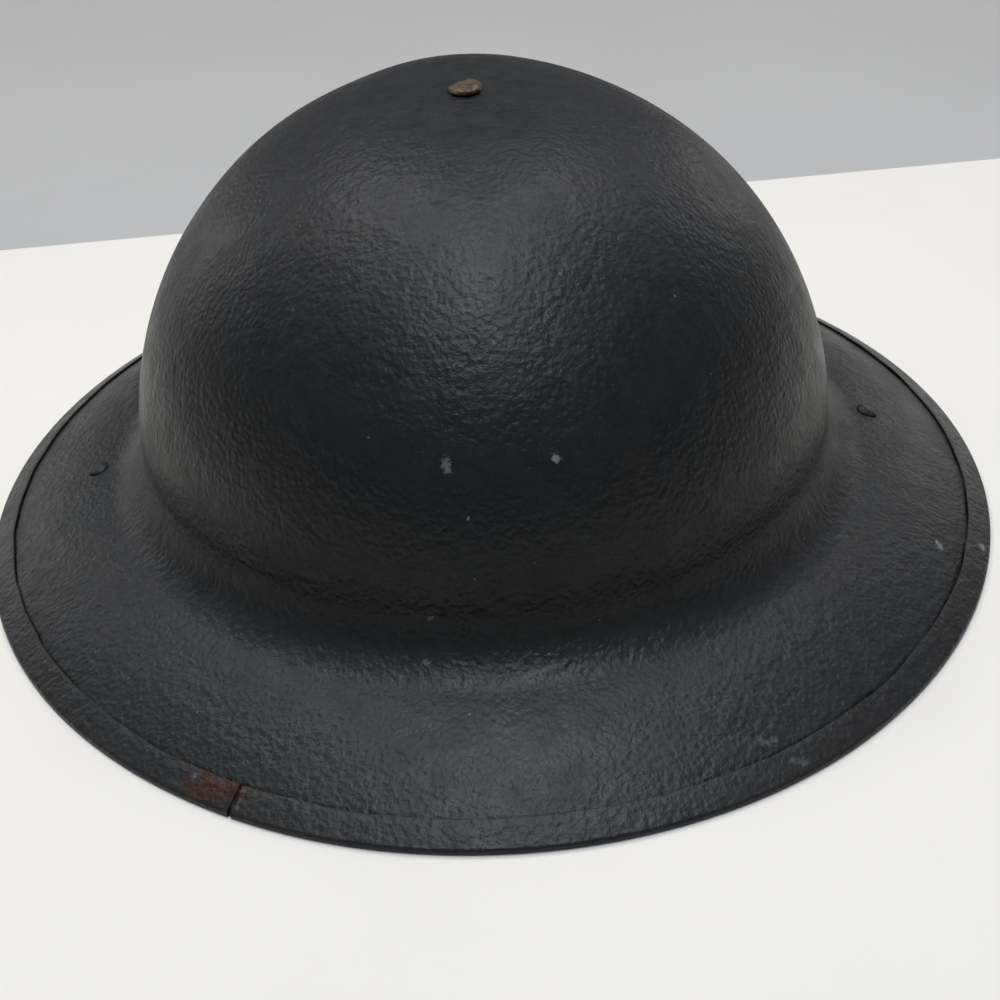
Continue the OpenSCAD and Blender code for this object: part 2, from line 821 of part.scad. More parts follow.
// Centres of the curl's three quarter turns, in the right strap's own frame.
curl_c1 = [right_strap_l, 0, curl_z + curl_r];
curl_c2 = [right_strap_l + curl_step, 0, curl_z + curl_r];
curl_c3 = [right_strap_l + curl_step, 0, curl_z + curl_r + curl_step];
curl_end = curl_c3 - [curl_3, 0, 0];

// A quarter turn of strap about the Y axis, from one angle on.
module quarter(r, a) {
    rotate([90, 0, 0])
        rotate([0, 0, a])
            rotate_extrude(angle = 90, $fn = round_fn)
                translate([r - strap_t / 2, -strap_w / 2])
                    square([strap_t, strap_w]);
}

// Puts a drill at a distance from the strap's tip, square to the leather.
module at_tail(s) {
    turn_3 = curl_3 * PI / 2;
    if (s <= tail_l)
        translate(curl_end - [0, 0, tail_l - s]) rotate([0, 90, 0]) children();
    else if (s <= tail_l + turn_3)
        translate(curl_c3)
            rotate([0, -180 + (s - tail_l) / curl_3 * 180 / PI, 0])
                translate([curl_3, 0, 0]) rotate([0, 90, 0]) children();
    else
        translate(curl_c2)
            rotate([0, -90 + (s - tail_l - turn_3) / curl_2 * 180 / PI, 0])
                translate([curl_2, 0, 0]) rotate([0, 90, 0]) children();
}

module right_strap() {
    tip_r = strap_w / 2;
    color(leather)
        at_bar("right")
            difference() {
                union() {
                    fold(fold_ri, fold_ro);
                    run(fold_l, right_strap_l);
                    translate(curl_c1) quarter(curl_r, -90);
                    translate(curl_c2) quarter(curl_2, 0);
                    translate(curl_c3) quarter(curl_3, 90);
                    translate(curl_end - [strap_t / 2, 0, 0])
                        rotate([0, 90, 0])
                            linear_extrude(strap_t) {
                                translate([0, -tip_r]) square([tail_l - tip_r, strap_w]);
                                translate([tail_l - tip_r, 0]) circle(r = tip_r, $fn = wire_fn);
                            }
                }
                strap_rivet_hole();
                for (i = [0 : hole_count - 1])
                    at_tail(first_hole + i * hole_pitch)
                        cylinder(d = hole_d, h = 3 * strap_t, center = true, $fn = wire_fn);
            }
}

module right_strap_rivet() {
    color(brass)
        at_bar("right") strap_rivet_at(fold_ri, fold_ro);
}

module strap_keeper() {
    outer = [keeper_w, strap_w + 2 * keeper_play + 2 * keeper_t, strap_t + 2 * keeper_play + 2 * keeper_t];
    inner = [keeper_w + 2, strap_w + 2 * keeper_play, strap_t + 2 * keeper_play];
    color(leather)
        at_bar("left")
            translate([keeper_at + keeper_w / 2, 0, -(fold_ri + fold_ro) / 2])
                difference() {
                    cube(outer, center = true);
                    cube(inner, center = true);
                }
}

module buckle_frame() {
    color(brass)
        at_bar("left") at_heel() wire_loop(buckle_l, inner_w + buckle_wire_d, buckle_r);
}

module buckle_roller() {
    length = inner_w + buckle_wire_d - 2 * wire_bend_r - 2 * free_gap;
    color(brass)
        at_bar("left") at_heel()
            translate([buckle_l, 0, 0])
                rotate([90, 0, 0])
                    difference() {
                        cylinder(r = roller_r, h = length, center = true, $fn = wire_fn);
                        cylinder(r = roller_ri, h = length + 2, center = true, $fn = wire_fn);
                    }
}

// The tongue turns on the heel bar and rests on the roller.
module buckle_tongue() {
    rest_z = roller_r + run_gap;
    bend_at = buckle_l * 0.7;
    color(brass)
        at_bar("left") at_heel()
            rotate([90, 0, 0])
                translate([0, 0, -tongue_w / 2])
                    linear_extrude(tongue_w)
                        difference() {
                            union() {
                                circle(r = tongue_ro, $fn = wire_fn);
                                polygon([
                                    [0, 0], [bend_at, rest_z], [tongue_reach, rest_z],
                                    [tongue_reach, rest_z + tongue_tip_t],
                                    [bend_at, rest_z + tongue_t], [0, tongue_ro]]);
                            }
                            circle(r = tongue_ri, $fn = wire_fn);
                        }
}

shell();
rim_band();
crown_rivet();
crown_washer();
crown_pad();
crown_strap_long();
crown_strap_cross();
liner_band();
sweatband();
buffer_strap();
band_rivets();
head_net();
net_drawcord();
side_rivet("left");  // left_side_rivet
side_rivet("right");  // right_side_rivet
bale_clip("left");  // left_bale_clip
bale_clip("right");  // right_bale_clip
bale("left");  // left_bale
bale("right");  // right_bale
left_strap();
left_strap_rivets();
right_strap();
right_strap_rivet();
strap_keeper();
buckle_frame();
buckle_roller();
buckle_tongue();
for (i = [1 : tube_count])
    buffer_tube(i);
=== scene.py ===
"""Looks of a steel helmet with its liner and chinstrap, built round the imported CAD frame.

Every length is in metres, in the frame of the CAD: +Z up through the crown rivet, -Y to the front.
"""

import json
import math

import bmesh
import bpy
import numpy as np
from mathutils import Matrix, Vector


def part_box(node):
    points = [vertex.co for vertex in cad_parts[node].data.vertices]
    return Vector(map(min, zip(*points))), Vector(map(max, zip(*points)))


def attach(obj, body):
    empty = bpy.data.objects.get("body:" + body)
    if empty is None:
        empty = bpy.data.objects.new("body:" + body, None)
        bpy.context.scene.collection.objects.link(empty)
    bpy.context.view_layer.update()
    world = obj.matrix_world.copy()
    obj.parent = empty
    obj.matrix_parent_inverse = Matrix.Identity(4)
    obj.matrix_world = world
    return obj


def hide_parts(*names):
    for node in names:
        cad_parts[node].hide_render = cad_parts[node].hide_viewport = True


bl_info = {
    "name": "Steel helmet",
    "version": (1, 0, 0),
    "blender": (4, 5, 0),
    "location": "3D View > Sidebar > Helmet",
    "description": "Builds the shell, liner and chinstrap of a brimmed steel helmet",
    "category": "Object",
}

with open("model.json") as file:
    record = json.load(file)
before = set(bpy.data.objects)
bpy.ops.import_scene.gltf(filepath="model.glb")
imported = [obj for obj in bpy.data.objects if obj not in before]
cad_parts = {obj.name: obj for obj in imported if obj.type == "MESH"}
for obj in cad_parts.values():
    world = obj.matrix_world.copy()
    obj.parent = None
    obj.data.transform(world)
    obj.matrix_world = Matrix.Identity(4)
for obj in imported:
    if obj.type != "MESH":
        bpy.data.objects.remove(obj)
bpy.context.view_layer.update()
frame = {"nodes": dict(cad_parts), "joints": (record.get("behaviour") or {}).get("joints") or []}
MM = 0.001
SIDES = {"left": -1, "right": 1}

# Where the bales and the straps turn, on the right side.
TURNS = {joint["name"]: joint.get("pos_m") for joint in frame["joints"]}
PIVOT_X, _, PIVOT_Z = TURNS["right_bale_swing"]
BAR_X, _, BAR_Z = TURNS["right_strap_swing"]


def box(node):
    """Lowest and highest corner of a CAD node, as arrays."""
    return [np.array(corner, float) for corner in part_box(node)]


# The plan is an oval of four arcs. Every level of it is longer than wide by the same amount.
RIM_HIGH = box("rim_band")[1]
EXTRA = RIM_HIGH[1] - RIM_HIGH[0]
SIDE_C = 1.5 * EXTRA
END_C = 2 * EXTRA
SIDE_SINE = 0.8


def linear(code):
    """Linear colour of an sRGB hex value: each part over 255, raised by the sRGB curve."""
    part = np.array([int(code[i : i + 2], 16) for i in (0, 2, 4)]) / 255
    curve = np.where(part <= 0.04045, part / 12.92, ((part + 0.055) / 1.055) ** 2.4)
    return tuple(float(c) for c in curve)


def length(name, default, description):
    """A length that the sidebar shows in the scene's own unit."""
    return bpy.props.FloatProperty(
        name=name, description=description, default=default, unit="LENGTH", precision=5
    )


def tint(name, code, description):
    """A colour that the sidebar shows as a swatch."""
    return bpy.props.FloatVectorProperty(
        name=name, description=description, default=linear(code), subtype="COLOR",
        size=3, min=0, max=1,
    )


def turn(name, degrees, description):
    """An angle that the sidebar shows in degrees."""
    return bpy.props.FloatProperty(
        name=name, description=description, default=math.radians(degrees), subtype="ANGLE"
    )


def number(name, default, description):
    """A plain number."""
    return bpy.props.FloatProperty(name=name, description=description, default=default)


class HELMET_PG_shell(bpy.types.PropertyGroup):
    """Sizes and colours of the steel shell and its rim."""

    width: length("Width", 2 * RIM_HIGH[0], "Width across the rim")
    height: length("Height", box("shell")[1][2], "Height of the crown above the table")
    bowl: length("Bowl width", 197 * MM, "Width of the bowl where its wall stands upright")
    thickness: length("Thickness", 1 * MM, "Thickness of the steel")
    foot: length("Foot radius", 17 * MM, "Radius of the turn from the bowl into the brim")
    flatness: number("Flat crown", 2.25, "Power of the radius in the dome's curve")
    lean: number("Lean", 1.8, "Power of the height in the dome's curve")
    slope_in: turn("Inner slope", 16, "Slope of the brim where it leaves the bowl")
    slope_out: turn("Outer slope", 29, "Slope of the brim at the rim")
    band: length("Strip width", 6.5 * MM, "Width of the folded strip on each face of the brim")
    band_thickness: length("Strip thickness", 0.5 * MM, "Thickness of the folded strip")
    seat: length("Strip gap", 0.2 * MM, "Gap between the strip and the brim")
    joint: turn("Strip joint", 237, "Angle of the strip's joint round the rim")
    joint_gap: length("Joint gap", 0.8 * MM, "Gap where the ends of the strip meet")
    rivet_out: length("Rivet out", 16 * MM, "From the bowl's wall out to each side rivet")
    unevenness: length("Unevenness", 0.28 * MM, "How far the pressed steel strays from true")
    paint: tint("Paint", "0f1113", "Satin charcoal enamel")
    paint_warm: tint("Worn paint", "1c1916", "The same enamel where it has browned")
    # Partly fine dust and partly painted sheen, laid on the faces that look up.
    dust_and_sheen: tint("Dust", "373736", "Fine dust on the faces that look up")
    rust: tint("Rust", "4a2c18", "Rust where the paint has lifted")


class HELMET_PG_liner(bpy.types.PropertyGroup):
    """Sizes and colours of the liner."""

    hem: length("Hem", 3 * MM, "Width of the folded hem of the oilcloth bands")
    strands: bpy.props.IntProperty(
        name="Strands", description="Strands of the net that turn each way", default=30
    )
    cells: number("Cells", 4.5, "Meshes of the net that a strand passes between its ends")
    twine: length("Twine", 1.4 * MM, "Thickness of the net's twine")
    oilcloth: tint("Oilcloth", "1b1a19", "Black oilcloth")
    felt: tint("Felt", "6d6452", "Grey-brown wool felt")
    rubber: tint("Rubber", "4a3a33", "Aged red-brown rubber")
    hemp: tint("Twine", "b8a684", "Hemp twine")


class HELMET_PG_strap(bpy.types.PropertyGroup):
    """Sizes and colours of the chinstrap and its fittings."""

    width: length("Width", 19 * MM, "Width of the leather")
    thickness: length("Thickness", 2 * MM, "Thickness of the leather")
    left: length("Left half", 72 * MM, "Length of the left half, from bale to buckle")
    right: length("Right half", 50 * MM, "Length of the right half's flat run")
    curl: length("Curl", 28 * MM, "Radius at which the right half starts to curl")
    curl_step: length("Curl step", 4 * MM, "How much that radius falls at each quarter turn")
    tail: length("Tail", 24 * MM, "Straight tip past the curl")
    fold: length("Fold", 22 * MM, "Length folded back round each bar")
    slot: length("Slot", 5 * MM, "How far the tongue's slot runs back from the buckle's bar")
    slot_width: length("Slot width", 4 * MM, "Width of the tongue's slot")
    hole: length("Hole", 4 * MM, "Diameter of the tongue holes")
    first_hole: length("First hole", 15 * MM, "From the tip of the strap to its first hole")
    hole_step: length("Hole step", 12 * MM, "From one tongue hole to the next")
    holes: bpy.props.IntProperty(name="Holes", description="Number of tongue holes", default=6)
    buckle: length("Buckle", 18 * MM, "Length of the buckle between its bars")
    skew: length("Skew", 4 * MM, "How far each side's fittings sit off the middle")
    leather: tint("Leather", "5a3820", "Aged brown harness leather")
    brass: tint("Brass", "b2935a", "Brass where it rubs bright")
    steel: tint("Steel", "57534d", "Dull steel wire and strip")


class HELMET_PG_stage(bpy.types.PropertyGroup):
    """Camera, floor and lamps."""

    azimuth: turn("Azimuth", -3.98, "Turn of the camera round the helmet, from the front")
    elevation: turn("Elevation", 33.13, "Height of the camera above the horizon")
    distance: length("Distance", 515.6 * MM, "Distance of the camera from the middle of the base")
    roll: turn("Roll", -3.05, "Turn of the camera about its own axis")
    aim_side: length("Aim sideways", 3.31 * MM, "How far right of the middle the camera looks")
    aim_up: length("Aim height", -6.16 * MM, "How far above the table the camera looks")
    lens: bpy.props.FloatProperty(
        name="Lens", description="Focal length of the camera in millimetres", default=61.39
    )
    floor: tint("Floor", "f6f0e4", "White paper under the helmet")
    backdrop: tint("Backdrop", "c1bfbb", "Pale grey behind the paper")
    paper_edge: length("Paper edge", 203 * MM, "How far behind the middle the paper ends")
    paper_skew: turn("Paper skew", 0.93, "Turn of the paper's far edge about the vertical")
    lamp_reach: length("Lamp reach", 1.3, "Distance of the lamps from the helmet")
    lamp_size: length("Lamp size", 0.4, "Width of each square lamp")
    room: number("Room", 0.18, "Strength of the pale room's own light")


def linked(name, data):
    """A new object in the scene that shows a mesh, a lamp or a camera."""
    item = bpy.data.objects.new(name, data)
    bpy.context.scene.collection.objects.link(item)
    return item


def surface(name, points, uv=None, round_u=False, round_v=False, caps=False):
    """A mesh over a grid of points: four neighbours make a face.

    A rounded direction joins its last row to its first, caps close the two ends of the first
    direction, and points that meet are merged, so that seams and poles are closed. The faces
    are turned round if the volume inside comes out negative.
    """
    if round_u:
        points = np.concatenate([points, points[:1]])
    if round_v:
        points = np.concatenate([points, points[:, :1]], axis=1)
    nu, nv = points.shape[:2]
    index = np.arange(nu * nv).reshape(nu, nv)
    around = (index[:-1, :-1], index[1:, :-1], index[1:, 1:], index[:-1, 1:])
    faces = np.stack(around, axis=-1).reshape(-1, 4)
    flat = points.reshape(-1, 3)
    a, b, c, d = (flat[faces[:, i]] for i in range(4))
    volume = np.einsum("ij,ij->", a, np.cross(b, c) + np.cross(c, d))
    ends = [index[0, :-1][::-1], index[-1, :-1]] if caps else []
    for ring in ends:
        fan = flat[ring] - flat[ring].mean(0)
        volume += flat[ring].mean(0) @ np.cross(fan, np.roll(fan, -1, axis=0)).sum(0)
    if volume < 0:
        faces = faces[:, ::-1]
        ends = [ring[::-1] for ring in ends]
    mesh = bpy.data.meshes.new(name)
    mesh.from_pydata(flat.tolist(), [], faces.tolist() + [ring.tolist() for ring in ends])
    if uv is None:
        step_u = np.linalg.norm(np.diff(points, axis=0), axis=2).mean(1)
        step_v = np.linalg.norm(np.diff(points, axis=1), axis=2).mean(0)
        along = np.concatenate([[0], np.cumsum(step_u)])
        across = np.concatenate([[0], np.cumsum(step_v)])
        uv = np.stack(np.meshgrid(along, across, indexing="ij"), axis=-1)
    corner = np.zeros(len(mesh.loops), np.int32)
    mesh.loops.foreach_get("vertex_index", corner)
    mesh.uv_layers.new(name="surface").data.foreach_set("uv", uv.reshape(-1, 2)[corner].ravel())
    merge = bmesh.new()
    merge.from_mesh(mesh)
    bmesh.ops.remove_doubles(merge, verts=merge.verts, dist=2e-6)
    merge.to_mesh(mesh)
    merge.free()
    mesh.polygons.foreach_set("use_smooth", np.ones(len(mesh.polygons), bool))
    return linked(name, mesh)


def dress(piece, look, body, nodes=()):
    """Gives a finished piece its material and body, and hides the CAD nodes it stands for."""
    piece.data.materials.clear()
    piece.data.materials.append(material(look))
    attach(piece, body)
    if nodes:
        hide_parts(*nodes)
    return piece


def joined(name, pieces):
    """One object of several meshes."""
    whole = bmesh.new()
    for piece in pieces:
        whole.from_mesh(piece.data)
    mesh = bpy.data.meshes.new(name)
    whole.to_mesh(mesh)
    whole.free()
    for piece in pieces:
        bpy.data.objects.remove(piece)
    return linked(name, mesh)


def drilled(piece, cutters):
    """The piece with the cutters' shapes taken out of it, and flat ends where they went."""
    cutter = joined(piece.name + "_cutter", cutters)
    modifier = piece.modifiers.new("holes", "BOOLEAN")
    modifier.operation = "DIFFERENCE"
    modifier.solver = "EXACT"
    modifier.object = cutter
    evaluated = piece.evaluated_get(bpy.context.evaluated_depsgraph_get())
    mesh = bpy.data.meshes.new_from_object(evaluated)
    piece.modifiers.clear()
    piece.data = mesh
    bpy.data.objects.remove(cutter)
    if not mesh.polygons:
        raise RuntimeError(f"the holes of {piece.name} could not be cut")
    return piece


def oval(level, angle):
    """Points of the plan whose outward direction is at an angle.

    Within the side arcs a point lies at level + SIDE_C from a centre on the X axis, and within
    the end arcs at level - EXTRA from a centre on the Y axis.
    """
    c, s = np.cos(angle), np.sin(angle)
    side = np.abs(s) <= SIDE_SINE
    x = np.where(side, (level + SIDE_C) * c - np.sign(c) * SIDE_C, (level - EXTRA) * c)
    y = np.where(side, (level + SIDE_C) * s, (level - EXTRA) * s + np.sign(s) * END_C)
    return x, y


def full_turn(steps):
    """Even angles once round, without the last, which meets the first."""
    return np.linspace(0, 2 * np.pi, steps, endpoint=False)


def turned(levels, heights, steps=288, core=0.0, angles=None):
    """A profile of levels and heights carried round the oval.

    Inside the core level each ring is the core's ring drawn in towards the middle.
    """
    if angles is None:
        angles = full_turn(steps)
    levels = np.broadcast_to(levels, (len(angles), np.shape(levels)[-1]))
    heights = np.broadcast_to(heights, levels.shape)
    x, y = oval(np.maximum(levels, core), angles[:, None])
    share = np.minimum(levels / core, 1) if core else 1.0
    return np.stack([x * share, y * share, heights], axis=-1)


def lumps(points, size, seed, waves=14):
    """Smooth unevenness from -1 to 1: the mean of sine waves in random directions."""
    random = np.random.default_rng(seed)
    way = random.normal(size=(waves, 3))
    way /= np.linalg.norm(way, axis=1, keepdims=True)
    way *= random.uniform(0.6, 1.6, (waves, 1)) * 2 * np.pi / size
    phase = random.uniform(0, 2 * np.pi, waves)
    return np.sin(points @ way.T + phase).sum(-1) / math.sqrt(waves)


def rounded(width, height, radius, corner=4, side=5):
    """A rectangle about zero with rounded corners, as a closed ring of points."""
    ring = []
    for k, (sx, sy) in enumerate([(1, 1), (-1, 1), (-1, -1), (1, -1)]):
        a = np.linspace(0, np.pi / 2, corner) + k * np.pi / 2
        centre = np.array([sx * (width / 2 - radius), sy * (height / 2 - radius)])
        ring.append(centre + radius * np.stack([np.cos(a), np.sin(a)], -1))
    ring = np.concatenate(ring)
    after = np.roll(ring, -1, axis=0)
    steps = np.maximum(1, np.round(np.linalg.norm(after - ring, axis=1)
                                   / (max(width, height) / side)).astype(int))
    return np.concatenate([a + (b - a) * np.linspace(0, 1, n, endpoint=False)[:, None]
                           for a, b, n in zip(ring, after, steps)])


def circle(radius, steps):
    """A ring of points about zero."""
    a = full_turn(steps)
    return radius * np.stack([np.cos(a), np.sin(a)], -1)


def carried(path, section, side, closed=False):
    """A section carried along a path: its first axis on the side vector, its second square
    to that and to the path. The section may change from point to point."""
    if closed:
        ahead = np.roll(path, -1, axis=0) - np.roll(path, 1, axis=0)
    else:
        ahead = np.gradient(path, axis=0)
    ahead /= np.linalg.norm(ahead, axis=1, keepdims=True)
    side = np.broadcast_to(side, path.shape)
    side = side - (side * ahead).sum(1, keepdims=True) * ahead
    side /= np.linalg.norm(side, axis=1, keepdims=True)
    up = np.cross(ahead, side)
    section = np.broadcast_to(section, (len(path),) + section.shape[-2:])
    return path[:, None] + section[..., :1] * side[:, None] + section[..., 1:] * up[:, None]


def travelled(path):
    """Distance along a path to each of its points."""
    return np.concatenate([[0], np.cumsum(np.linalg.norm(np.diff(path, axis=0), axis=1))])


def resized(section, wide, thick):
    """A section for each point of a path, its width and thickness multiplied by values."""
    return section[None] * np.stack(np.broadcast_arrays(wide, thick), -1)[:, None]


def hoop(name, path, section, side):
    """A section carried once round a closed path."""
    return surface(name, carried(path, section, side, True), round_u=True, round_v=True)


def rod(name, path, section, side):
    """A section carried along an open path, with closed ends."""
    return surface(name, carried(path, section, side), round_v=True, caps=True)


def upright(flat):
    """Points of X and Z, as points in space on the X-Z plane."""
    return np.stack([flat[:, 0], 0 * flat[:, 0], flat[:, 1]], -1)


def even(path, step, smooth=0):
    """The path again with points a step apart, each then drawn towards its neighbours."""
    along = travelled(path)
    at = np.linspace(0, along[-1], max(3, int(along[-1] / step)))
    path = np.stack([np.interp(at, along, path[:, k]) for k in range(path.shape[1])], -1)
    for _ in range(smooth):
        path[1:-1] = path[1:-1] / 2 + (path[:-2] + path[2:]) / 4
    return path


def arc(centre, radius, start, end, steps=24):
    """Points of an arc between two angles in degrees."""
    a = np.radians(np.linspace(start, end, steps))
    return np.array(centre) + radius * np.stack([np.cos(a), np.sin(a)], -1)


def revolved(profile, steps=64):
    """A profile of radius and height turned about the Z axis."""
    a = full_turn(steps)[:, None]
    r, z = profile[:, 0], profile[:, 1]
    return np.stack([r * np.cos(a), r * np.sin(a), np.broadcast_to(z, (steps, len(z)))], -1)


def stitches(name, at, ahead, up, long, thick):
    """A row of stitches: each is a thread that rises from the surface, runs along and goes
    back in, as a ring of six points carried along half a wave."""
    t = np.linspace(0, 1, 6)
    run = at[:, None] + ahead[:, None] * ((t - 0.5) * long)[:, None]
    run = run + up[:, None] * (thick * (np.sin(np.pi * t) ** 0.5 - 0.4))[:, None]
    side = np.cross(ahead, up)
    ring = circle(thick, 6)
    grid = (run[:, :, None] + side[:, None, None] * ring[:, :1]
            + up[:, None, None] * ring[:, 1:])
    return joined(name, [surface("stitch", one, round_v=True, caps=True) for one in grid])


def shell_profile(shape):
    """Levels and heights of the shell's outer face from the crown to the rim, and the
    outward direction at each.

    The bowl follows z = wall + dome * (1 - (r / R) ^ flatness) ^ (1 / lean). A circular arc
    turns from it into the brim, whose slope then grows along an arc, and the rim is straight.
    """
    half = shape.thickness / 2
    bend = half + shape.seat + shape.band_thickness
    edge = shape.width / 2 - bend
    sin_in, cos_in = math.sin(shape.slope_in), math.cos(shape.slope_in)
    sin_out, cos_out = math.sin(shape.slope_out), math.cos(shape.slope_out)
    rim = np.array([edge + half * sin_out, bend + half * cos_out])
    straight = rim - (shape.band + 1 * MM) * np.array([cos_out, -sin_out])
    radius = shape.bowl / 2
    foot_r = radius + shape.foot * (1 - sin_in)
    brim_r = (straight[0] - foot_r) / (sin_out - sin_in)
    foot_z = straight[1] + brim_r * (cos_in - cos_out)
    wall = foot_z + shape.foot * cos_in
    r = radius * np.sin(np.linspace(0, np.pi / 2, 72)) ** 1.02
    bent = 1 - np.minimum(r / radius, 1) ** shape.flatness
    dome = np.stack([r, wall + (shape.height - wall) * bent ** (1 / shape.lean)], -1)
    foot = arc((radius + shape.foot, wall), shape.foot, 180,
               270 - math.degrees(shape.slope_in), 22)
    slope = np.linspace(shape.slope_in, shape.slope_out, 26)
    brim = np.stack([foot_r + brim_r * (np.sin(slope) - sin_in),
                     foot_z - brim_r * (cos_in - np.cos(slope))], -1)
    last = straight + (rim - straight) * np.linspace(0, 1, 8)[:, None]
    profile = np.concatenate([dome, foot[1:], brim[1:], last[1:]])
    ahead = np.gradient(profile, axis=0)
    ahead /= np.linalg.norm(ahead, axis=1, keepdims=True)
    out = np.stack([-ahead[:, 1], ahead[:, 0]], -1)
    out[0] = (0, 1)
    return profile, out, (edge, bend)


def rivet_seat(shape):
    """How far across and how high a side rivet sits on the brim, and the brim's slope there."""
    profile, out, _ = shell_profile(shape)
    across = shape.bowl / 2 + shape.rivet_out
    height = np.interp(across, profile[:, 0], profile[:, 1])
    slope = np.interp(across, profile[:, 0], np.arctan2(out[:, 0], out[:, 1]))
    return across, float(height), float(slope)


def pressed(points, shape):
    """The shell's points with the unevenness of pressed steel, which dies out at the rim and
    round the rivets, and with the soft flat that runs round the crown rivet."""
    away = np.hypot(points[..., 0], points[..., 1])
    rim = np.clip((shape.width / 2 - 12 * MM - away) / (25 * MM), 0, 1)
    across = shape.bowl / 2 + shape.rivet_out
    side = np.hypot(np.abs(points[..., 0]) - across, points[..., 1]) / (14 * MM)
    calm = rim * np.clip(away / (30 * MM), 0, 1) * np.clip(side - 0.4, 0, 1)
    lift = lumps(points, 95 * MM, 3) * 0.7 + lumps(points, 42 * MM, 8) * 0.3
    flat = 0.45 * MM * np.exp(-(((away - 21 * MM) / (8 * MM)) ** 2))
    points[..., 2] += calm * lift * shape.unevenness - flat
    return points


def tree_of(name):
    """A new material, its empty node tree, and a place on the object in metres."""
    made = bpy.data.materials.new(name)
    made.use_nodes = True
    tree = made.node_tree
    tree.nodes.clear()
    return made, tree, add(tree, "TexCoord").outputs["Object"]


def add(tree, kind, inputs=None, **settings):
    """Adds a node with its settings. An input is a value, or the socket that feeds it."""
    node = tree.nodes.new("ShaderNode" + kind)
    for key, value in settings.items():
        setattr(node, key, value)
    for key, value in (inputs or {}).items():
        if isinstance(value, bpy.types.NodeSocket):
            tree.links.new(value, node.inputs[key])
        else:
            node.inputs[key].default_value = value
    return node


def unwrapped(tree):
    """A place on the surface in metres, along its two directions."""
    return add(tree, "UVMap", uv_map="surface").outputs["UV"]


def noise(tree, vector, size, detail=3.0, rough=0.55, warp=0.0):
    """Cloudy noise whose features are of a real size in metres."""
    inputs = {"Vector": vector, "Scale": 1 / size, "Detail": detail, "Roughness": rough,
              "Distortion": warp}
    return add(tree, "TexNoise", inputs).outputs["Fac"]


def bands(tree, vector, spacing, axis, warp=0.0):
    """Sine bands a real spacing apart. The wave node turns 20 radians in a unit."""
    inputs = {"Vector": vector, "Scale": 2 * math.pi / 20 / spacing, "Distortion": warp}
    return add(tree, "TexWave", inputs, wave_type="BANDS", bands_direction=axis).outputs["Fac"]


def between(tree, value, low, high, out_low=0.0, out_high=1.0):
    """The value taken from one range to another with a smooth step."""
    inputs = {"Value": value, "From Min": low, "From Max": high, "To Min": out_low,
              "To Max": out_high}
    return add(tree, "MapRange", inputs, interpolation_type="SMOOTHSTEP").outputs["Result"]


def blended(tree, share, first, second):
    """Two colours mixed by a share."""
    inputs = {0: share, 6: first, 7: second}
    return add(tree, "Mix", inputs, data_type="RGBA").outputs[2]


def maths(tree, kind, first, second):
    """One step of arithmetic on two values."""
    return add(tree, "Math", {0: first, 1: second}, operation=kind).outputs[0]


def times(tree, first, second):
    """Two values multiplied."""
    return maths(tree, "MULTIPLY", first, second)


def rgba(colour, share=1.0):
    """A property's colour or a hex value, darkened or lightened, with its alpha."""
    parts = linear(colour) if isinstance(colour, str) else colour[:3]
    return tuple(min(c * share, 1.0) for c in parts) + (1.0,)


def finish(tree, colour, rough, height, depth, settings):
    """The shader that ends a material: its colour, roughness and bump, and plain settings."""
    bump = add(tree, "Bump", {"Height": height, "Distance": depth, "Strength": 1.0})
    inputs = {"Base Color": colour, "Roughness": rough, "Normal": bump.outputs["Normal"]}
    shader = add(tree, "BsdfPrincipled", {**inputs, **settings})
    add(tree, "OutputMaterial", {"Surface": shader.outputs["BSDF"]})


def marked(tree, where, spots):
    """Where the spots are, from 0 to 1. Each is a place, a half-size and a strength, and it is
    broken up by noise, as a scuff or a chip is."""
    ragged = noise(tree, where, 1.1 * MM, 4, 0.7)
    total = None
    for place, size, strength in spots:
        away = add(tree, "VectorMath", {0: where, 1: place}, operation="SUBTRACT").outputs[0]
        scaled = add(tree, "VectorMath", {0: away, 1: [1 / s for s in size]},
                     operation="MULTIPLY").outputs[0]
        reach = add(tree, "VectorMath", {0: scaled}, operation="LENGTH").outputs[1]
        broken = maths(tree, "ADD", reach, times(tree, ragged, 4))
        one = between(tree, broken, 3.0, 2.5, 0, strength)
        total = one if total is None else maths(tree, "MAXIMUM", total, one)
    return total


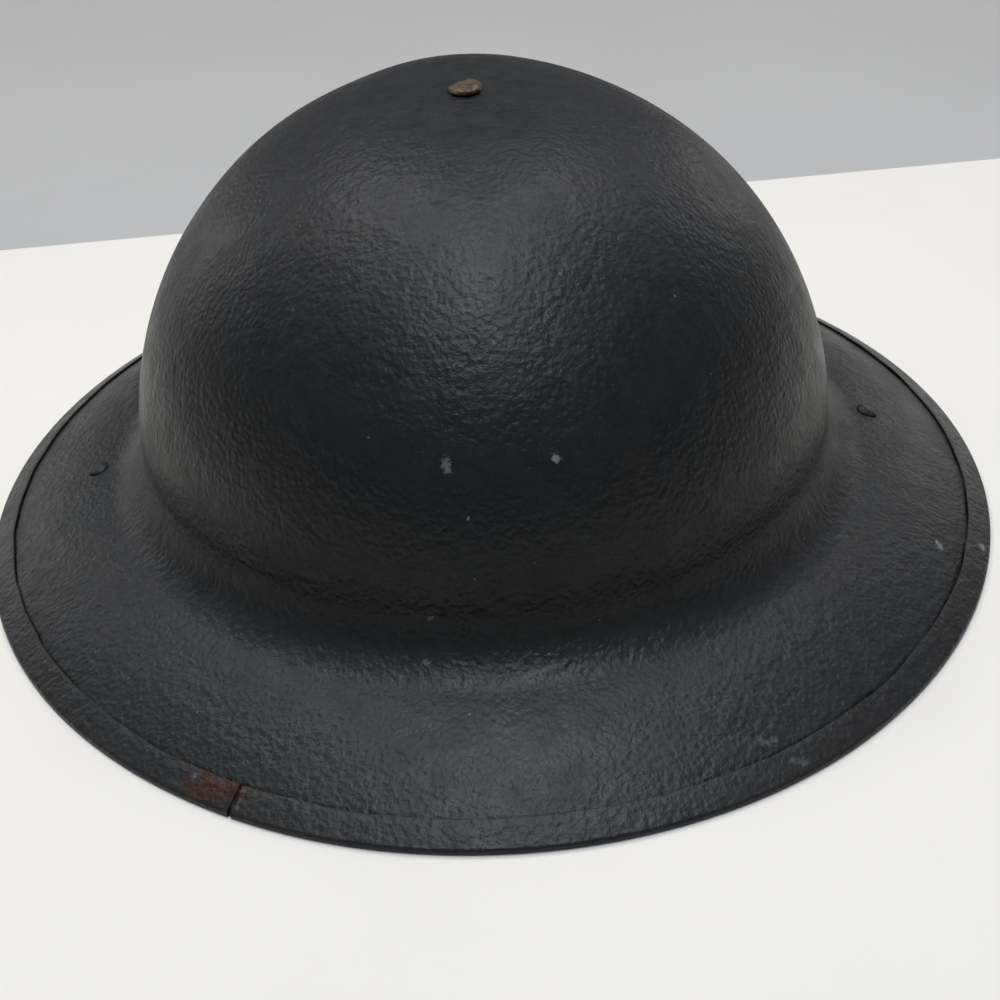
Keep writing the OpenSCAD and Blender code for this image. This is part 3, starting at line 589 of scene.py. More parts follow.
def enamel(shape, name="Satin charcoal enamel on pressed steel", warm=0.0, spots=(), rust=(),
           seam=0.0):
    """Thick brushed enamel over sand-textured steel: a leathery grain of 1 to 4 mm that
    breaks the light into specks, cloudy browning, a pale grey on the faces that look up that is
    partly fine dust and partly painted sheen, pale flecks and scuffs, and rust where it has
    lifted.
    Painted shade, a near-black line broken into patches, runs along a seam that far in from the
    rim, where the gap under the rim strip is in shadow."""
    material, tree, where = tree_of(name)
    cloud = noise(tree, where, 55 * MM, 4, 0.6, 0.4)
    share = between(tree, cloud, 0.45 - warm, 0.95 - warm)
    colour = blended(tree, share, rgba(shape.paint), rgba(shape.paint_warm))
    # Dust and painted sheen: a pale grey over the faces that look up, partly fine dust and partly
    # standing in for the sheen of the overhead lamps.
    facing = add(tree, "SeparateXYZ", {0: add(tree, "TexCoord").outputs["Normal"]}).outputs["Z"]
    dust_and_sheen = between(tree, noise(tree, where, 4 * MM, 4, 0.7), 0.1, 0.9, 0.25, 0.75)
    dust_and_sheen = times(tree, dust_and_sheen, between(tree, facing, 0.15, 0.95))
    colour = blended(tree, dust_and_sheen, colour, rgba(shape.dust_and_sheen))
    speck = noise(tree, where, 1.9 * MM, 1, 0.5)
    fleck = between(tree, speck, 0.79, 0.83)
    colour = blended(tree, times(tree, fleck, 0.6), colour, rgba("77746c"))
    if spots:
        scuff = marked(tree, where, spots)
        colour = blended(tree, times(tree, scuff, 0.62), colour,
                         rgba("8d8b86"))
    if rust:
        red = marked(tree, where, rust)
        tone = blended(tree, noise(tree, where, 1.5 * MM), rgba(shape.rust),
                       rgba("2a1a12"))
        colour = blended(tree, red, colour, tone)
    # Painted shade: a near-black line, broken into patches, along the inner edge of the rim strip,
    # where the gap under the strip is in shadow.
    if seam:
        inward = add(tree, "SeparateXYZ", {0: unwrapped(tree)})
        off = maths(tree, "ABSOLUTE", maths(tree, "SUBTRACT", inward.outputs["Y"], seam), 0.0)
        shade_patch = between(tree, noise(tree, where, 22 * MM, 3), 0.36, 0.6)
        line = times(tree, between(tree, off, 1.3 * MM, 0.5 * MM), shade_patch)
        colour = blended(tree, line, colour, rgba("050505"))
    grain = add(tree, "TexVoronoi", {"Vector": where, "Scale": 1 / (1.7 * MM), "Smoothness": 0.6,
                                     "Randomness": 1.0}, feature="SMOOTH_F1").outputs["Distance"]
    fine = noise(tree, where, 1.1 * MM, 3, 0.6)
    height = maths(tree, "ADD", times(tree, grain, 0.8), fine)
    height = maths(tree, "ADD", height, times(tree, noise(tree, where, 4 * MM), 1.4))
    rough = between(tree, noise(tree, where, 9 * MM, 4), 0.3, 0.75, 0.34, 0.46)
    finish(tree, colour, rough, height, 0.24 * MM, {"Specular IOR Level": 0.25})
    return material


def old_steel(name, colour, dark, rust_share=0.5, metallic=0.85):
    """Bare steel gone dull: grey metal with brown bloom in the hollows, pitted and scratched."""
    material, tree, where = tree_of(name)
    bloom = between(tree, noise(tree, where, 2.6 * MM, 5, 0.65), 0.38, 0.68)
    tone = blended(tree, times(tree, bloom, rust_share), rgba(colour), rgba(dark))
    pits = noise(tree, where, 0.8 * MM, 4, 0.7)
    rough = between(tree, bloom, 0, 1, 0.38, 0.75)
    finish(tree, tone, rough, pits, 0.12 * MM, {"Metallic": metallic})
    return material


def oilcloth(liner):
    """Cotton coated with black linseed varnish: a plain weave of 1.1 mm shows through the
    coat, which is glossy on the ridges and cracks where it bends."""
    material, tree, where = tree_of("Black oilcloth")
    along = unwrapped(tree)
    weave = None
    for axis in ("X", "Y"):
        wave = bands(tree, along, 1.1098 * MM, axis)
        weave = wave if weave is None else times(tree, weave, wave)
    crack = add(tree, "TexVoronoi", {"Vector": where, "Scale": 1 / (7 * MM)},
                feature="DISTANCE_TO_EDGE").outputs["Distance"]
    wear = between(tree, noise(tree, where, 16 * MM, 4, 0.6), 0.45, 0.75)
    line = times(tree, between(tree, crack, 0.0, 0.03, 1, 0), wear)
    colour = blended(tree, times(tree, wear, 0.5), rgba(liner.oilcloth),
                     rgba("3a342c"))
    colour = blended(tree, times(tree, line, 0.3), colour, rgba("4a4034"))
    height = maths(tree, "SUBTRACT", weave, line)
    rough = between(tree, wear, 0, 1, 0.34, 0.62)
    finish(tree, colour, rough, height, 0.14 * MM, {"Sheen Weight": 0.08})
    return material


def wool_felt(liner):
    """Pressed wool: matted fibres 0.3 to 3 mm long, no weave, and no gloss but its nap."""
    material, tree, where = tree_of("Grey-brown wool felt")
    mottle = noise(tree, where, 6 * MM, 5, 0.7, 1.5)
    fibre = noise(tree, where, 0.6 * MM, 4, 0.75, 2.5)
    colour = blended(tree, mottle, rgba(liner.felt, 0.7), rgba(liner.felt, 1.3))
    colour = blended(tree, times(tree, fibre, 0.4), colour, rgba(liner.felt, 0.45))
    height = maths(tree, "ADD", fibre, mottle)
    rough = between(tree, fibre, 0, 1, 0.88, 1.0)
    finish(tree, colour, rough, height, 0.5 * MM, {"Sheen Weight": 0.4, "Sheen Roughness": 0.6})
    return material


def aged_rubber(liner):
    """Moulded rubber gone hard: matt, with a pale bloom and fine cracks across it."""
    material, tree, where = tree_of("Aged moulded rubber")
    bloom = between(tree, noise(tree, where, 5 * MM, 5, 0.65), 0.4, 0.75)
    colour = blended(tree, times(tree, bloom, 0.5), rgba(liner.rubber),
                     rgba("7d6a5e"))
    crack = add(tree, "TexVoronoi", {"Vector": where, "Scale": 1 / (2.2 * MM)},
                feature="DISTANCE_TO_EDGE").outputs["Distance"]
    height = between(tree, crack, 0.0, 0.08)
    rough = between(tree, bloom, 0, 1, 0.62, 0.85)
    finish(tree, colour, rough, height, 0.12 * MM, {"Specular IOR Level": 0.35})
    return material


def twine(name, colour, lay):
    """Twisted fibre: strands that wind round the cord every few millimetres, pale on their
    crowns and dark between them as painted light and shade, with loose hairs."""
    material, tree, where = tree_of(name)
    along = unwrapped(tree)
    turned_uv = add(tree, "Mapping", {"Vector": along, "Rotation": (0, 0, math.radians(42))})
    strand = bands(tree, turned_uv.outputs["Vector"], lay, "X", 0.6)
    hair = noise(tree, where, 0.5 * MM, 4, 0.7)
    # Painted shade and light: the grooves between the strands are drawn dark and their crowns
    # pale.
    strand_shaded_colour = blended(tree, strand, rgba(colour, 0.45), rgba(colour, 1.1))
    tone = blended(tree, times(tree, hair, 0.5), strand_shaded_colour, rgba(colour, 0.6))
    height = maths(tree, "ADD", strand, times(tree, hair, 0.4))
    rough = between(tree, hair, 0, 1, 0.8, 0.95)
    finish(tree, tone, rough, height, 0.25 * MM, {"Sheen Weight": 0.2})
    return material


def harness_leather(strap):
    """Vegetable-tanned hide: pebbled grain of 0.8 mm with darker pores, creases across the strap
    drawn darker, cloudy patches darker and lighter, and a waxy gloss on the high places."""
    material, tree, where = tree_of("Aged harness leather")
    along = unwrapped(tree)
    pebble = add(tree, "TexVoronoi", {"Vector": where, "Scale": 1 / (0.9 * MM),
                                      "Smoothness": 0.7}, feature="SMOOTH_F1").outputs["Distance"]
    stretched = add(tree, "Mapping", {"Vector": along, "Scale": (1, 0.12, 1)}).outputs["Vector"]
    crease = noise(tree, stretched, 2.2 * MM, 4, 0.6)
    wear = between(tree, noise(tree, where, 11 * MM, 5, 0.65), 0.35, 0.72)
    colour = blended(tree, wear, rgba(strap.leather, 0.5), rgba(strap.leather, 1.25))
    line = between(tree, crease, 0.6, 0.72)
    colour = blended(tree, times(tree, line, 0.55), colour,
                     rgba(strap.leather, 0.3))
    pores = between(tree, pebble, 0.0, 0.22, 1, 0)
    colour = blended(tree, times(tree, pores, 0.3), colour,
                     rgba(strap.leather, 0.35))
    height = maths(tree, "SUBTRACT", pebble, times(tree, crease, 1.3))
    rough = between(tree, wear, 0, 1, 0.42, 0.66)
    finish(tree, colour, rough, height, 0.16 * MM, {"Specular IOR Level": 0.45})
    return material


def dull_brass(strap):
    """Cast brass long unpolished: brown tarnish in the hollows, yellow where it rubs."""
    material, tree, where = tree_of("Tarnished brass")
    tarnish = between(tree, noise(tree, where, 3 * MM, 5, 0.65), 0.35, 0.7)
    colour = blended(tree, tarnish, rgba(strap.brass), rgba("5a4526"))
    rub = noise(tree, where, 0.9 * MM, 4, 0.7)
    rough = between(tree, tarnish, 0, 1, 0.28, 0.6)
    finish(tree, colour, rough, rub, 0.06 * MM, {"Metallic": 0.95})
    return material


MATERIALS = {}


def material(name):
    """The material of that short name, made when it is first asked for."""
    scene = bpy.context.scene
    shell, liner, strap = scene.helmet_shell, scene.helmet_liner, scene.helmet_strap
    makers = {
        "enamel": lambda: enamel(shell, spots=SCUFFS, seam=shell.band),
        "stud": lambda: enamel(shell, "Satin charcoal enamel on the side rivets"),
        "rim": lambda: enamel(shell, "Worn enamel on the rim strip", 0.16, CHIPS, RUST),
        "rivet": lambda: old_steel("Rusted steel rivet", "6f5f4b", "241b14", 0.9, 0.35),
        "steel": lambda: old_steel("Dull steel", strap.steel, "3a2f26"),
        "oilcloth": lambda: oilcloth(liner),
        "felt": lambda: wool_felt(liner),
        "rubber": lambda: aged_rubber(liner),
        "twine": lambda: twine("Hemp twine", liner.hemp, 1.603 * MM),
        "thread": lambda: twine("Waxed linen thread", "8a7a5c", 0.7398 * MM),
        "leather": lambda: harness_leather(strap),
        "brass": lambda: dull_brass(strap),
    }
    if name not in MATERIALS:
        MATERIALS[name] = makers[name]()
    return MATERIALS[name]


# Scuffs on the bowl and brim, and chips and rust on the rim strip: place, half-size, strength.
SCUFFS = [
    ((0.0093, -0.0977, 0.0692), (0.0011, 0.0014, 0.0013), 1.0),
    ((-0.0161, -0.0967, 0.0690), (0.0011, 0.0014, 0.0029), 0.6),
    ((-0.0231, -0.1043, 0.0314), (0.0010, 0.0014, 0.0008), 0.35),
    ((-0.0248, -0.1085, 0.0214), (0.0010, 0.0014, 0.0008), 0.35),
    ((0.0545, -0.1330, 0.0070), (0.0032, 0.0014, 0.0016), 0.3),
    ((-0.0520, -0.0830, 0.0800), (0.0008, 0.0014, 0.0010), 0.4),
    ((0.1176, -0.0644, 0.0083), (0.0011, 0.0020, 0.0014), 1.0),
]
CHIPS = [
    ((0.1316, -0.0599, 0.0024), (0.0011, 0.0020, 0.0020), 1.0),
    ((-0.0826, -0.1215, 0.0045), (0.0012, 0.0012, 0.0014), 1.0),
    ((0.0594, -0.1372, 0.0031), (0.0032, 0.0013, 0.0014), 0.3),
]
RUST = [
    ((-0.0790, -0.1240, 0.0035), (0.0085, 0.0060, 0.0050), 0.9),
    ((-0.0717, -0.1266, 0.0047), (0.0065, 0.0050, 0.0045), 0.9),
]


class HELMET_OT_shell(bpy.types.Operator):
    """Make the pressed steel shell"""

    bl_idname = "helmet.make_shell"
    bl_label = "Shell"

    def execute(self, context):
        shape = context.scene.helmet_shell
        profile, out, _ = shell_profile(shape)
        inside = profile - shape.thickness * out
        inside[0, 0] = 0
        levels = np.concatenate([profile[:, 0], inside[::-1, 0]])
        heights = np.concatenate([profile[:, 1], inside[::-1, 1]])
        points = pressed(turned(levels, heights, steps=336, core=22 * MM), shape)
        # The second direction of the UV map is the distance in from the rim, below zero inside.
        outer = travelled(profile)
        inward = outer[-1] - np.concatenate([outer, outer[::-1] + outer[-1]])
        uv = np.stack(np.meshgrid(np.linspace(0, 1, len(points) + 1), inward, indexing="ij"), -1)
        piece = surface("shell_skin", points, uv, round_u=True)
        dress(piece, "enamel", "helmet", ["shell"])
        return {"FINISHED"}


class HELMET_OT_rim(bpy.types.Operator):
    """Make the strip folded round the rim"""

    bl_idname = "helmet.make_rim"
    bl_label = "Rim strip"

    def execute(self, context):
        shape = context.scene.helmet_shell
        edge, bend = shell_profile(shape)[2]
        slot = bend - shape.band_thickness
        wide = shape.band
        gap = shape.joint_gap / shape.width
        angles = np.linspace(shape.joint + gap, shape.joint + 2 * np.pi - gap, 420)
        round_rim = np.stack(oval(edge, angles) + (np.zeros_like(angles),), -1)
        sway = lumps(round_rim, 26 * MM, 5) * 0.22 * MM + lumps(round_rim, 7 * MM, 6) * 0.08 * MM
        lift = np.abs(lumps(round_rim, 34 * MM, 7)) * 0.10 * MM
        lip = shape.band_thickness / 2
        top = np.array([[-wide, bend], [-wide * 0.66, bend], [-wide * 0.33, bend]])
        nose = arc((0, 0), bend, 90, -90, 18)
        low = -top[::-1] * [-1, 1]
        inner = arc((0, 0), slot, -90, 90, 10)
        start = arc((-wide, slot + lip), lip, 270, 90, 6)
        end = arc((-wide, -slot - lip), lip, 270, 90, 6)
        section = np.concatenate([start, top[1:], nose, low[:-1], end, inner])
        section = np.repeat(section[None], len(angles), axis=0)
        upper = section[..., 1] > 0
        inward = np.clip(-section[..., 0] / wide, 0, 1)
        section[..., 0] += inward * sway[:, None] * np.where(upper, 1, 0.5)
        section[..., 1] += np.where(upper, 1, -1) * inward ** 2 * lift[:, None]
        c, s = math.cos(shape.slope_out), math.sin(shape.slope_out)
        level = edge + section[..., 0] * c + section[..., 1] * s
        height = bend - section[..., 0] * s + section[..., 1] * c
        points = turned(level, np.maximum(height, 0), angles=angles)
        piece = surface("rim_strip", points, round_v=True, caps=True)
        dress(piece, "rim", "helmet", ["rim_band"])
        return {"FINISHED"}


def side_frame(side, rivet_x, rivet_z, slope, skew):
    """Matrix that puts a piece square to the brim at a side rivet, and its origin."""
    sign = SIDES[side]
    x_axis = np.array([sign * math.cos(slope), 0, -math.sin(slope)])
    z_axis = np.array([sign * math.sin(slope), 0, math.cos(slope)])
    y_axis = np.array([0, sign, 0])
    origin = np.array([sign * rivet_x, -sign * skew, rivet_z])
    return np.array([x_axis, y_axis, z_axis]), origin


def rivet_at(name, profile, axes, origin, rough=0.0, seed=1, steps=48):
    """A turned rivet, dented by lumps, in a frame of its own."""
    points = revolved(profile, steps)
    points = points + lumps(points, 3.2 * MM, seed)[..., None] * rough * np.clip(
        points[..., 2:] / (0.6 * MM), 0, 1) * np.sign(points + 1e-9)
    return surface(name, points @ axes + origin, round_u=True)


def headed(head, dome, shank, grip, low_dome):
    """Profile of a rivet with two domed heads, its lower head's face at zero."""
    up = arc((0, 0), 1, 90, 0, 9) * [head / 2, dome] + [0, grip]
    down = arc((0, 0), 1, 0, -90, 9) * [head / 2, low_dome]
    return np.concatenate([up, [[shank / 2, grip], [shank / 2, 0]], down])


class HELMET_OT_rivets(bpy.types.Operator):
    """Make the crown rivet, the side rivets and the small rivets"""

    bl_idname = "helmet.make_rivets"
    bl_label = "Rivets"

    def execute(self, context):
        shape, strap = context.scene.helmet_shell, context.scene.helmet_strap
        low, high = box("crown_rivet")
        seat = shape.height
        rise = high[2] - seat
        head = high[0]
        flat = box("crown_washer")[0][2]
        corner = 0.9 * MM
        head_side = arc((head - corner, 0), corner, 80, -70, 10) + [0, rise - 1.25 * MM]
        profile = np.concatenate([
            [[0, rise], [head * 0.3, rise], [head * 0.6, rise - 0.1 * MM]], head_side,
            [[2 * MM, 0.02 * MM], [2 * MM, flat - seat]],
            arc((0, 0), 1, 0, -90, 10) * [4 * MM, flat - low[2]] + [0, flat - seat]])
        points = revolved(profile, 72)
        lift = np.clip(points[..., 2:] / (1.2 * MM), 0, 1)
        dents = lumps(points, 5.5 * MM, 12)[..., None] * 0.42 * MM
        dents = dents + lumps(points, 2.0 * MM, 13)[..., None] * 0.16 * MM
        inward = points * [1, 1, 0] / np.maximum(np.hypot(points[..., :1], points[..., 1:2]), MM)
        points = points + lift * dents * inward
        away = np.clip(np.hypot(points[..., 0], points[..., 1]) / (1 * MM), 0, 1)
        worn = points[..., 0] * 0.10 - points[..., 1] * 0.06
        points[..., 2] += lift[..., 0] * (worn - 0.3 * MM + away * dents[..., 0] * 0.5)
        points[..., 2] = np.minimum(points[..., 2] + seat, high[2] + 0.3 * MM)
        stud = surface("crown_stud", points, round_u=True)
        dress(stud, "rivet", "helmet", ["crown_rivet"])

        across, height, slope = rivet_seat(context.scene.helmet_shell)
        under = -(shape.thickness + 1.5 * MM)
        domed = headed(6.4 * MM, 1.25 * MM, 3 * MM, -under, 1.1 * MM) + [0, under]
        for k, side in enumerate(SIDES):
            axes, origin = side_frame(side, across, height, slope, strap.skew)
            piece = rivet_at(side + "_rivet", domed, axes, origin, 0.14 * MM, 20 + k)
            dress(piece, "stud", "helmet", [side + "_side_rivet"])

        # Two of the small rivets hold the ends of the cross strap, two those of the long strap.
        small = []
        low, high = box("band_rivets")
        for k in range(4):
            reach = high[k % 2]
            a = k * math.pi / 2
            way = np.array([math.cos(a), math.sin(a), 0])
            axes = np.array([np.cross(way, [0, 0, 1]) * -1, [0, 0, 1], way])
            grip = 4.2 * MM if k % 2 == 0 else 4.9 * MM
            start = way * (reach - 0.6 * MM - grip) + [0, 0, (low[2] + high[2]) / 2]
            small.append(rivet_at("r", headed(5 * MM, 0.6 * MM, 2.4 * MM, grip, 0.6 * MM),
                                  axes, start, 0.05 * MM, 30 + k, 32))
        piece = joined("band_rivet_heads", small)
        dress(piece, "steel", "helmet", ["band_rivets"])
        return {"FINISHED"}


def cloth_band(name, node, hem, seed, wave):
    """An upright oval band: thin cloth with a hem at each edge, which strays in and out a
    little as it goes round."""
    low, high = box(node)
    thick = high[0] - wall_inner(node)
    section = rounded(thick, high[2] - low[2], thick * 0.42, 4, 14)
    mid = np.clip((np.abs(section[:, 1]) - (high[2] - low[2]) / 2 + hem) / (0.6 * MM), -1, 0)
    section[:, 0] *= 1 + 0.28 * mid
    angles = full_turn(288)
    at = np.stack([np.cos(angles), np.sin(angles), 0 * angles], -1) * high[0]
    sway = lumps(at, 60 * MM, seed) * wave
    level = high[0] - thick / 2 + section[None, :, 0] + sway[:, None]
    height = (low[2] + high[2]) / 2 + section[None, :, 1]
    height = height + lumps(at, 45 * MM, seed + 1)[:, None] * wave
    piece = surface(name, turned(level, height, angles=angles), round_u=True, round_v=True)
    return piece


# Thickness of each oval band.
WALLS = {"liner_band": 1.6 * MM, "sweatband": 1.4 * MM, "buffer_strap": 1.0 * MM}


def wall_inner(node):
    """Level of an oval band's inner face."""
    return box(node)[1][0] - WALLS[node]


class HELMET_OT_bands(bpy.types.Operator):
    """Make the oilcloth bands of the liner"""

    bl_idname = "helmet.make_bands"
    bl_label = "Liner bands"

    def execute(self, context):
        liner = context.scene.helmet_liner
        for name, node, seed, wave in [
            ("liner_cloth", "liner_band", 41, 0.12 * MM),
            ("sweat_cloth", "sweatband", 43, 0.16 * MM),
            ("buffer_cloth", "buffer_strap", 45, 0.10 * MM),
        ]:
            piece = cloth_band(name, node, liner.hem, seed, wave)
            dress(piece, "oilcloth", "helmet", [node])
        low, high = box("sweatband")
        face = wall_inner("sweatband")
        rows = []
        for z in (low[2] + 0.6 * liner.hem, high[2] - 0.6 * liner.hem):
            angles = full_turn(130)
            x, y = oval(face, angles)
            at = np.stack([x, y, np.full_like(x, z)], -1)
            inward = -np.stack([np.cos(angles), np.sin(angles), 0 * angles], -1)
            ahead = np.cross(inward, [0, 0, 1.0])
            rows.append(stitches("row", at, ahead, inward, 2.8 * MM, 0.28 * MM))
        piece = joined("sweat_cloth_stitching", rows)
        dress(piece, "thread", "helmet")
        return {"FINISHED"}


def crown_path(node, axis, thick):
    """Middle line of a crown strap in its own upright plane: up one tab, over in one arc,
    and down the other tab."""
    low, high = box(node)
    reach, top, bottom = high[axis], high[2], low[2]
    tab = bottom + 20 * MM
    radius = (reach**2 + (top - tab) ** 2) / (2 * (top - tab))
    half = math.degrees(math.asin(min(1, (reach - thick / 2) / (radius - thick / 2))))
    over = arc((0, top - radius), radius - thick / 2, 90 + half, 90 - half, 90)
    left = np.array([[-reach + thick / 2, bottom], [-reach + thick / 2, tab - 1 * MM]])
    right = left[::-1] * [-1, 1]
    return even(np.concatenate([left, over, right]), 1.6 * MM, 3)


class HELMET_OT_crown(bpy.types.Operator):
    """Make the felt pad and the two straps under the crown"""

    bl_idname = "helmet.make_crown"
    bl_label = "Crown pad and straps"

    def execute(self, context):
        low, high = box("crown_pad")
        inner, outer, base = 11 * MM, high[0], low[2]
        profile = shell_profile(context.scene.helmet_shell)[0]
        level = np.linspace(inner, outer - 0.6 * MM, 14)
        top = np.interp(level, profile[:, 0], profile[:, 1]) - 1.75 * MM
        top[0] -= 0.5 * MM
        edge = arc((outer - 1.2 * MM, top[-1] - 1.2 * MM), 1.2 * MM, 60, -80, 6)
        under = np.stack([np.linspace(outer - 1.5 * MM, inner + 0.8 * MM, 10),
                          np.full(10, base + 0.1 * MM)], -1)
        nose = arc((inner + 0.6 * MM, base + 0.8 * MM), 0.6 * MM, 260, 190, 4)
        ring = np.concatenate([np.stack([level, top], -1), edge, under, nose])
        points = turned(ring[:, 0], ring[:, 1], 180)
        points[..., 2] += lumps(points, 11 * MM, 50) * 0.10 * MM
        pad = surface("felt_pad", points, round_u=True, round_v=True)
        dress(pad, "felt", "helmet", ["crown_pad"])

        thick, wide = 1.6 * MM, 28 * MM
        for name, node, axis in [("long_strap_cloth", "crown_strap_long", 1),
                                 ("cross_strap_cloth", "crown_strap_cross", 0)]:
            flat = crown_path(node, axis, thick)
            path = np.zeros((len(flat), 3))
            path[:, axis], path[:, 2] = flat[:, 0], flat[:, 1]
            side = np.zeros(3)
            side[1 - axis] = 1
            section = rounded(wide, thick, 0.6 * MM, 4, 16)
            mid = np.clip((np.abs(section[:, 0]) - wide / 2 + 3 * MM) / (0.6 * MM), -1, 0)
            section[:, 1] *= 1 + 0.22 * mid
            piece = rod(name, path, section, side)
            dress(piece, "oilcloth", "helmet", [node])
        return {"FINISHED"}


class HELMET_OT_tubes(bpy.types.Operator):
    """Make the twelve rubber buffer tubes"""

    bl_idname = "helmet.make_tubes"
    bl_label = "Buffer tubes"

    def execute(self, context):
        for i in range(1, 13):
            node = f"buffer_tube_{i:02d}"
            low, high = box(node)
            radius, bore = (high[0] - low[0]) / 2, 2.5 * MM
            tall, mid = high[2] - low[2], (radius + bore) / 2
            section = rounded(radius - bore, tall, 0.5 * MM, 4, 12) + [mid, 0]
            outer = section[:, 0] > mid
            waist = np.cos(section[:, 1] / tall * np.pi * 2) * 0.12 * MM
            section[:, 0] += np.where(outer, waist - 0.12 * MM, 0)
            points = revolved(section, 40) + (low + high) / 2
            points[..., :2] += lumps(points, 14 * MM, 60 + i)[..., None] * 0.10 * MM
            piece = surface(f"rubber_tube_{i:02d}", points, round_u=True, round_v=True)
            dress(piece, "rubber", "helmet", [node])
        return {"FINISHED"}


def net_surface(up, angle, lift):
    """Points of the net's dome: up runs from 0 at the foot to 1 at the gathered ring, along
    an arc in the profile, and lift moves them square to it."""
    foot = box("head_net")[1][0] - 1 * MM
    ring, rise, base = 15 * MM, 36 * MM, 43 * MM
    radius = ((foot - ring) ** 2 + rise**2) / (2 * rise)
    phi = math.asin((foot - ring) / radius) * (1 - up)
    level = ring + (radius + lift) * np.sin(phi)
    height = base + rise - radius + (radius + lift) * np.cos(phi)
    x, y = oval(level, angle)
    return np.stack([x, y, height], -1)


class HELMET_OT_net(bpy.types.Operator):
    """Make the twine net and its drawcord"""

    bl_idname = "helmet.make_net"
    bl_label = "Head net"

    def execute(self, context):
        liner = context.scene.helmet_liner
        count = liner.strands
        pieces = []
        up = np.linspace(0, 1, 34)
        for way in (1, -1):
            for k in range(count):
                angle = 2 * np.pi * (k + way * liner.cells * up) / count
                bow = np.sin(up * liner.cells * 2 * np.pi) * 0.3 * MM * way
                path = net_surface(up, angle, bow)
                side = net_surface(up, angle, bow + 1 * MM) - path
                pieces.append(rod("strand", path, circle(liner.twine / 2, 6), side))
        knots = int(2 * liner.cells)
        ball = revolved(arc((0, 0), 1, 90, -90, 5) * [1, 1], 6) * liner.twine * 0.95
        for row in range(1, knots + 1):
            share = row / (2 * liner.cells)
            for k in range(count):
                at = net_surface(np.array(share), 2 * np.pi * (k + row / 2) / count, 0.0)
                pieces.append(surface("knot", ball + at, round_u=True))
        for share, thick in ((0.0, 1.1 * MM), (1.0, 0.9 * MM)):
            angle = full_turn(160)
            path = net_surface(np.full(160, share), angle, 0.0)
            pieces.append(hoop("hem", path, circle(thick, 8), (0, 0, 1)))
        net = joined("twine_net", pieces)
        dress(net, "twine", "helmet", ["head_net"])

        low, high = box("net_drawcord")
        thick = (high[2] - low[2]) / 2
        angle = full_turn(160)
        x, y = oval(np.full(160, high[0] - thick), angle)
        path = np.stack([x, y, np.full(160, (low[2] + high[2]) / 2)], -1)
        ring = hoop("cord", path, circle(thick * 0.92, 14), (0, 0, 1))
        t = full_turn(70)
        knot = np.stack([np.sin(t) + 2 * np.sin(2 * t), np.cos(t) - 2 * np.cos(2 * t),
                         -np.sin(3 * t)], -1) * 0.8 * MM
        knot += [0, low[1] + thick, (low[2] + high[2]) / 2]
        tie = hoop("tie", knot, circle(0.8 * MM, 8), (0, 0.2, 1))
        cord = joined("gathering_cord", [ring, tie])
        dress(cord, "twine", "helmet", ["net_drawcord"])
        return {"FINISHED"}


def wire_loop(long, wide, bend):
    """Middle line of a rectangle of wire with rounded corners, its first bar at zero."""
    ring = rounded(long, wide, bend, 12, 24) + [long / 2, 0]
    return np.stack([ring[:, 0], ring[:, 1], 0 * ring[:, 0]], -1)


def at_bar(points, side, skew):
    """Puts a strap's own points, with +X along the strap, at its bale's lower bar."""
    sign = SIDES[side]
    return points * [-sign, 1, 1] + [sign * BAR_X, -sign * skew, BAR_Z]


class HELMET_OT_bales(bpy.types.Operator):
    """Make the wire bales that hang at the sides, and the clips that hold them"""

    bl_idname = "helmet.make_bales"
    bl_label = "Bales and clips"

    def execute(self, context):
        strap = context.scene.helmet_strap
        across, height, slope = rivet_seat(context.scene.helmet_shell)
        drop = math.atan2(PIVOT_Z - BAR_Z, PIVOT_X - BAR_X)
        for side, sign in SIDES.items():
            loop = wire_loop(14 * MM, strap.width + 5 * MM, 2.2 * MM)
            x, y = loop[:, 0], loop[:, 1]
            path = np.stack([-sign * math.cos(drop) * x, y, -math.sin(drop) * x], -1)
            path += [sign * PIVOT_X, -sign * strap.skew, PIVOT_Z]
            normal = np.array([sign * math.sin(drop), 0, -math.cos(drop)])
            wire = hoop(side + "_wire_bale", path, circle(1.5 * MM, 14), normal)
            dress(wire, "steel", side + "_bale", [side + "_bale"])

            axes, origin = side_frame(side, across, height, slope, strap.skew)
            tip, heel, seat = 5.8 * MM, -13 * MM, -2 * MM
            eye, half = 2.1 * MM, 6 * MM
            plate = np.array([[tip, seat], [heel, seat]])
            round_eye = arc((heel, seat - eye), eye, 90, 400, 40)
            path = upright(even(np.concatenate([plate, round_eye[1:]]), 0.6 * MM, 2))
            past = np.clip(path[:, 0], 0, tip)
            wide = np.sqrt(np.maximum(half**2 - past**2, 1 * MM**2))
            section = resized(rounded(2 * half, 0.95 * MM, 0.3 * MM, 3, 8), wide / half, 1)
            clip = surface(side + "_clip_strip", carried(path, section, (0, 1, 0)) @ axes + origin,
                           round_v=True, caps=True)
            dress(clip, "steel", "helmet", [side + "_bale_clip"])
        return {"FINISHED"}


# Height of the buckle's bar above the bale's lower bar.
HEEL_Z = -0.2 * MM


def fold_end(centre_x, centre_z, radius, way, lap_z, fold):
    """Middle line of leather that comes back over itself round a bar: from its cut end,
    along the strap, up over the bar and round to the strap's under side."""
    back = np.array([[fold, lap_z], [12 * MM, lap_z], [9 * MM, lap_z + 0.15 * MM],
                     [2.2 * MM, radius - 0.55 * MM + centre_z]])
    loop = arc((0, centre_z), radius, 75, 270, 30)
    both = np.concatenate([back, loop])
    return both * [way, 1] + [centre_x, 0]


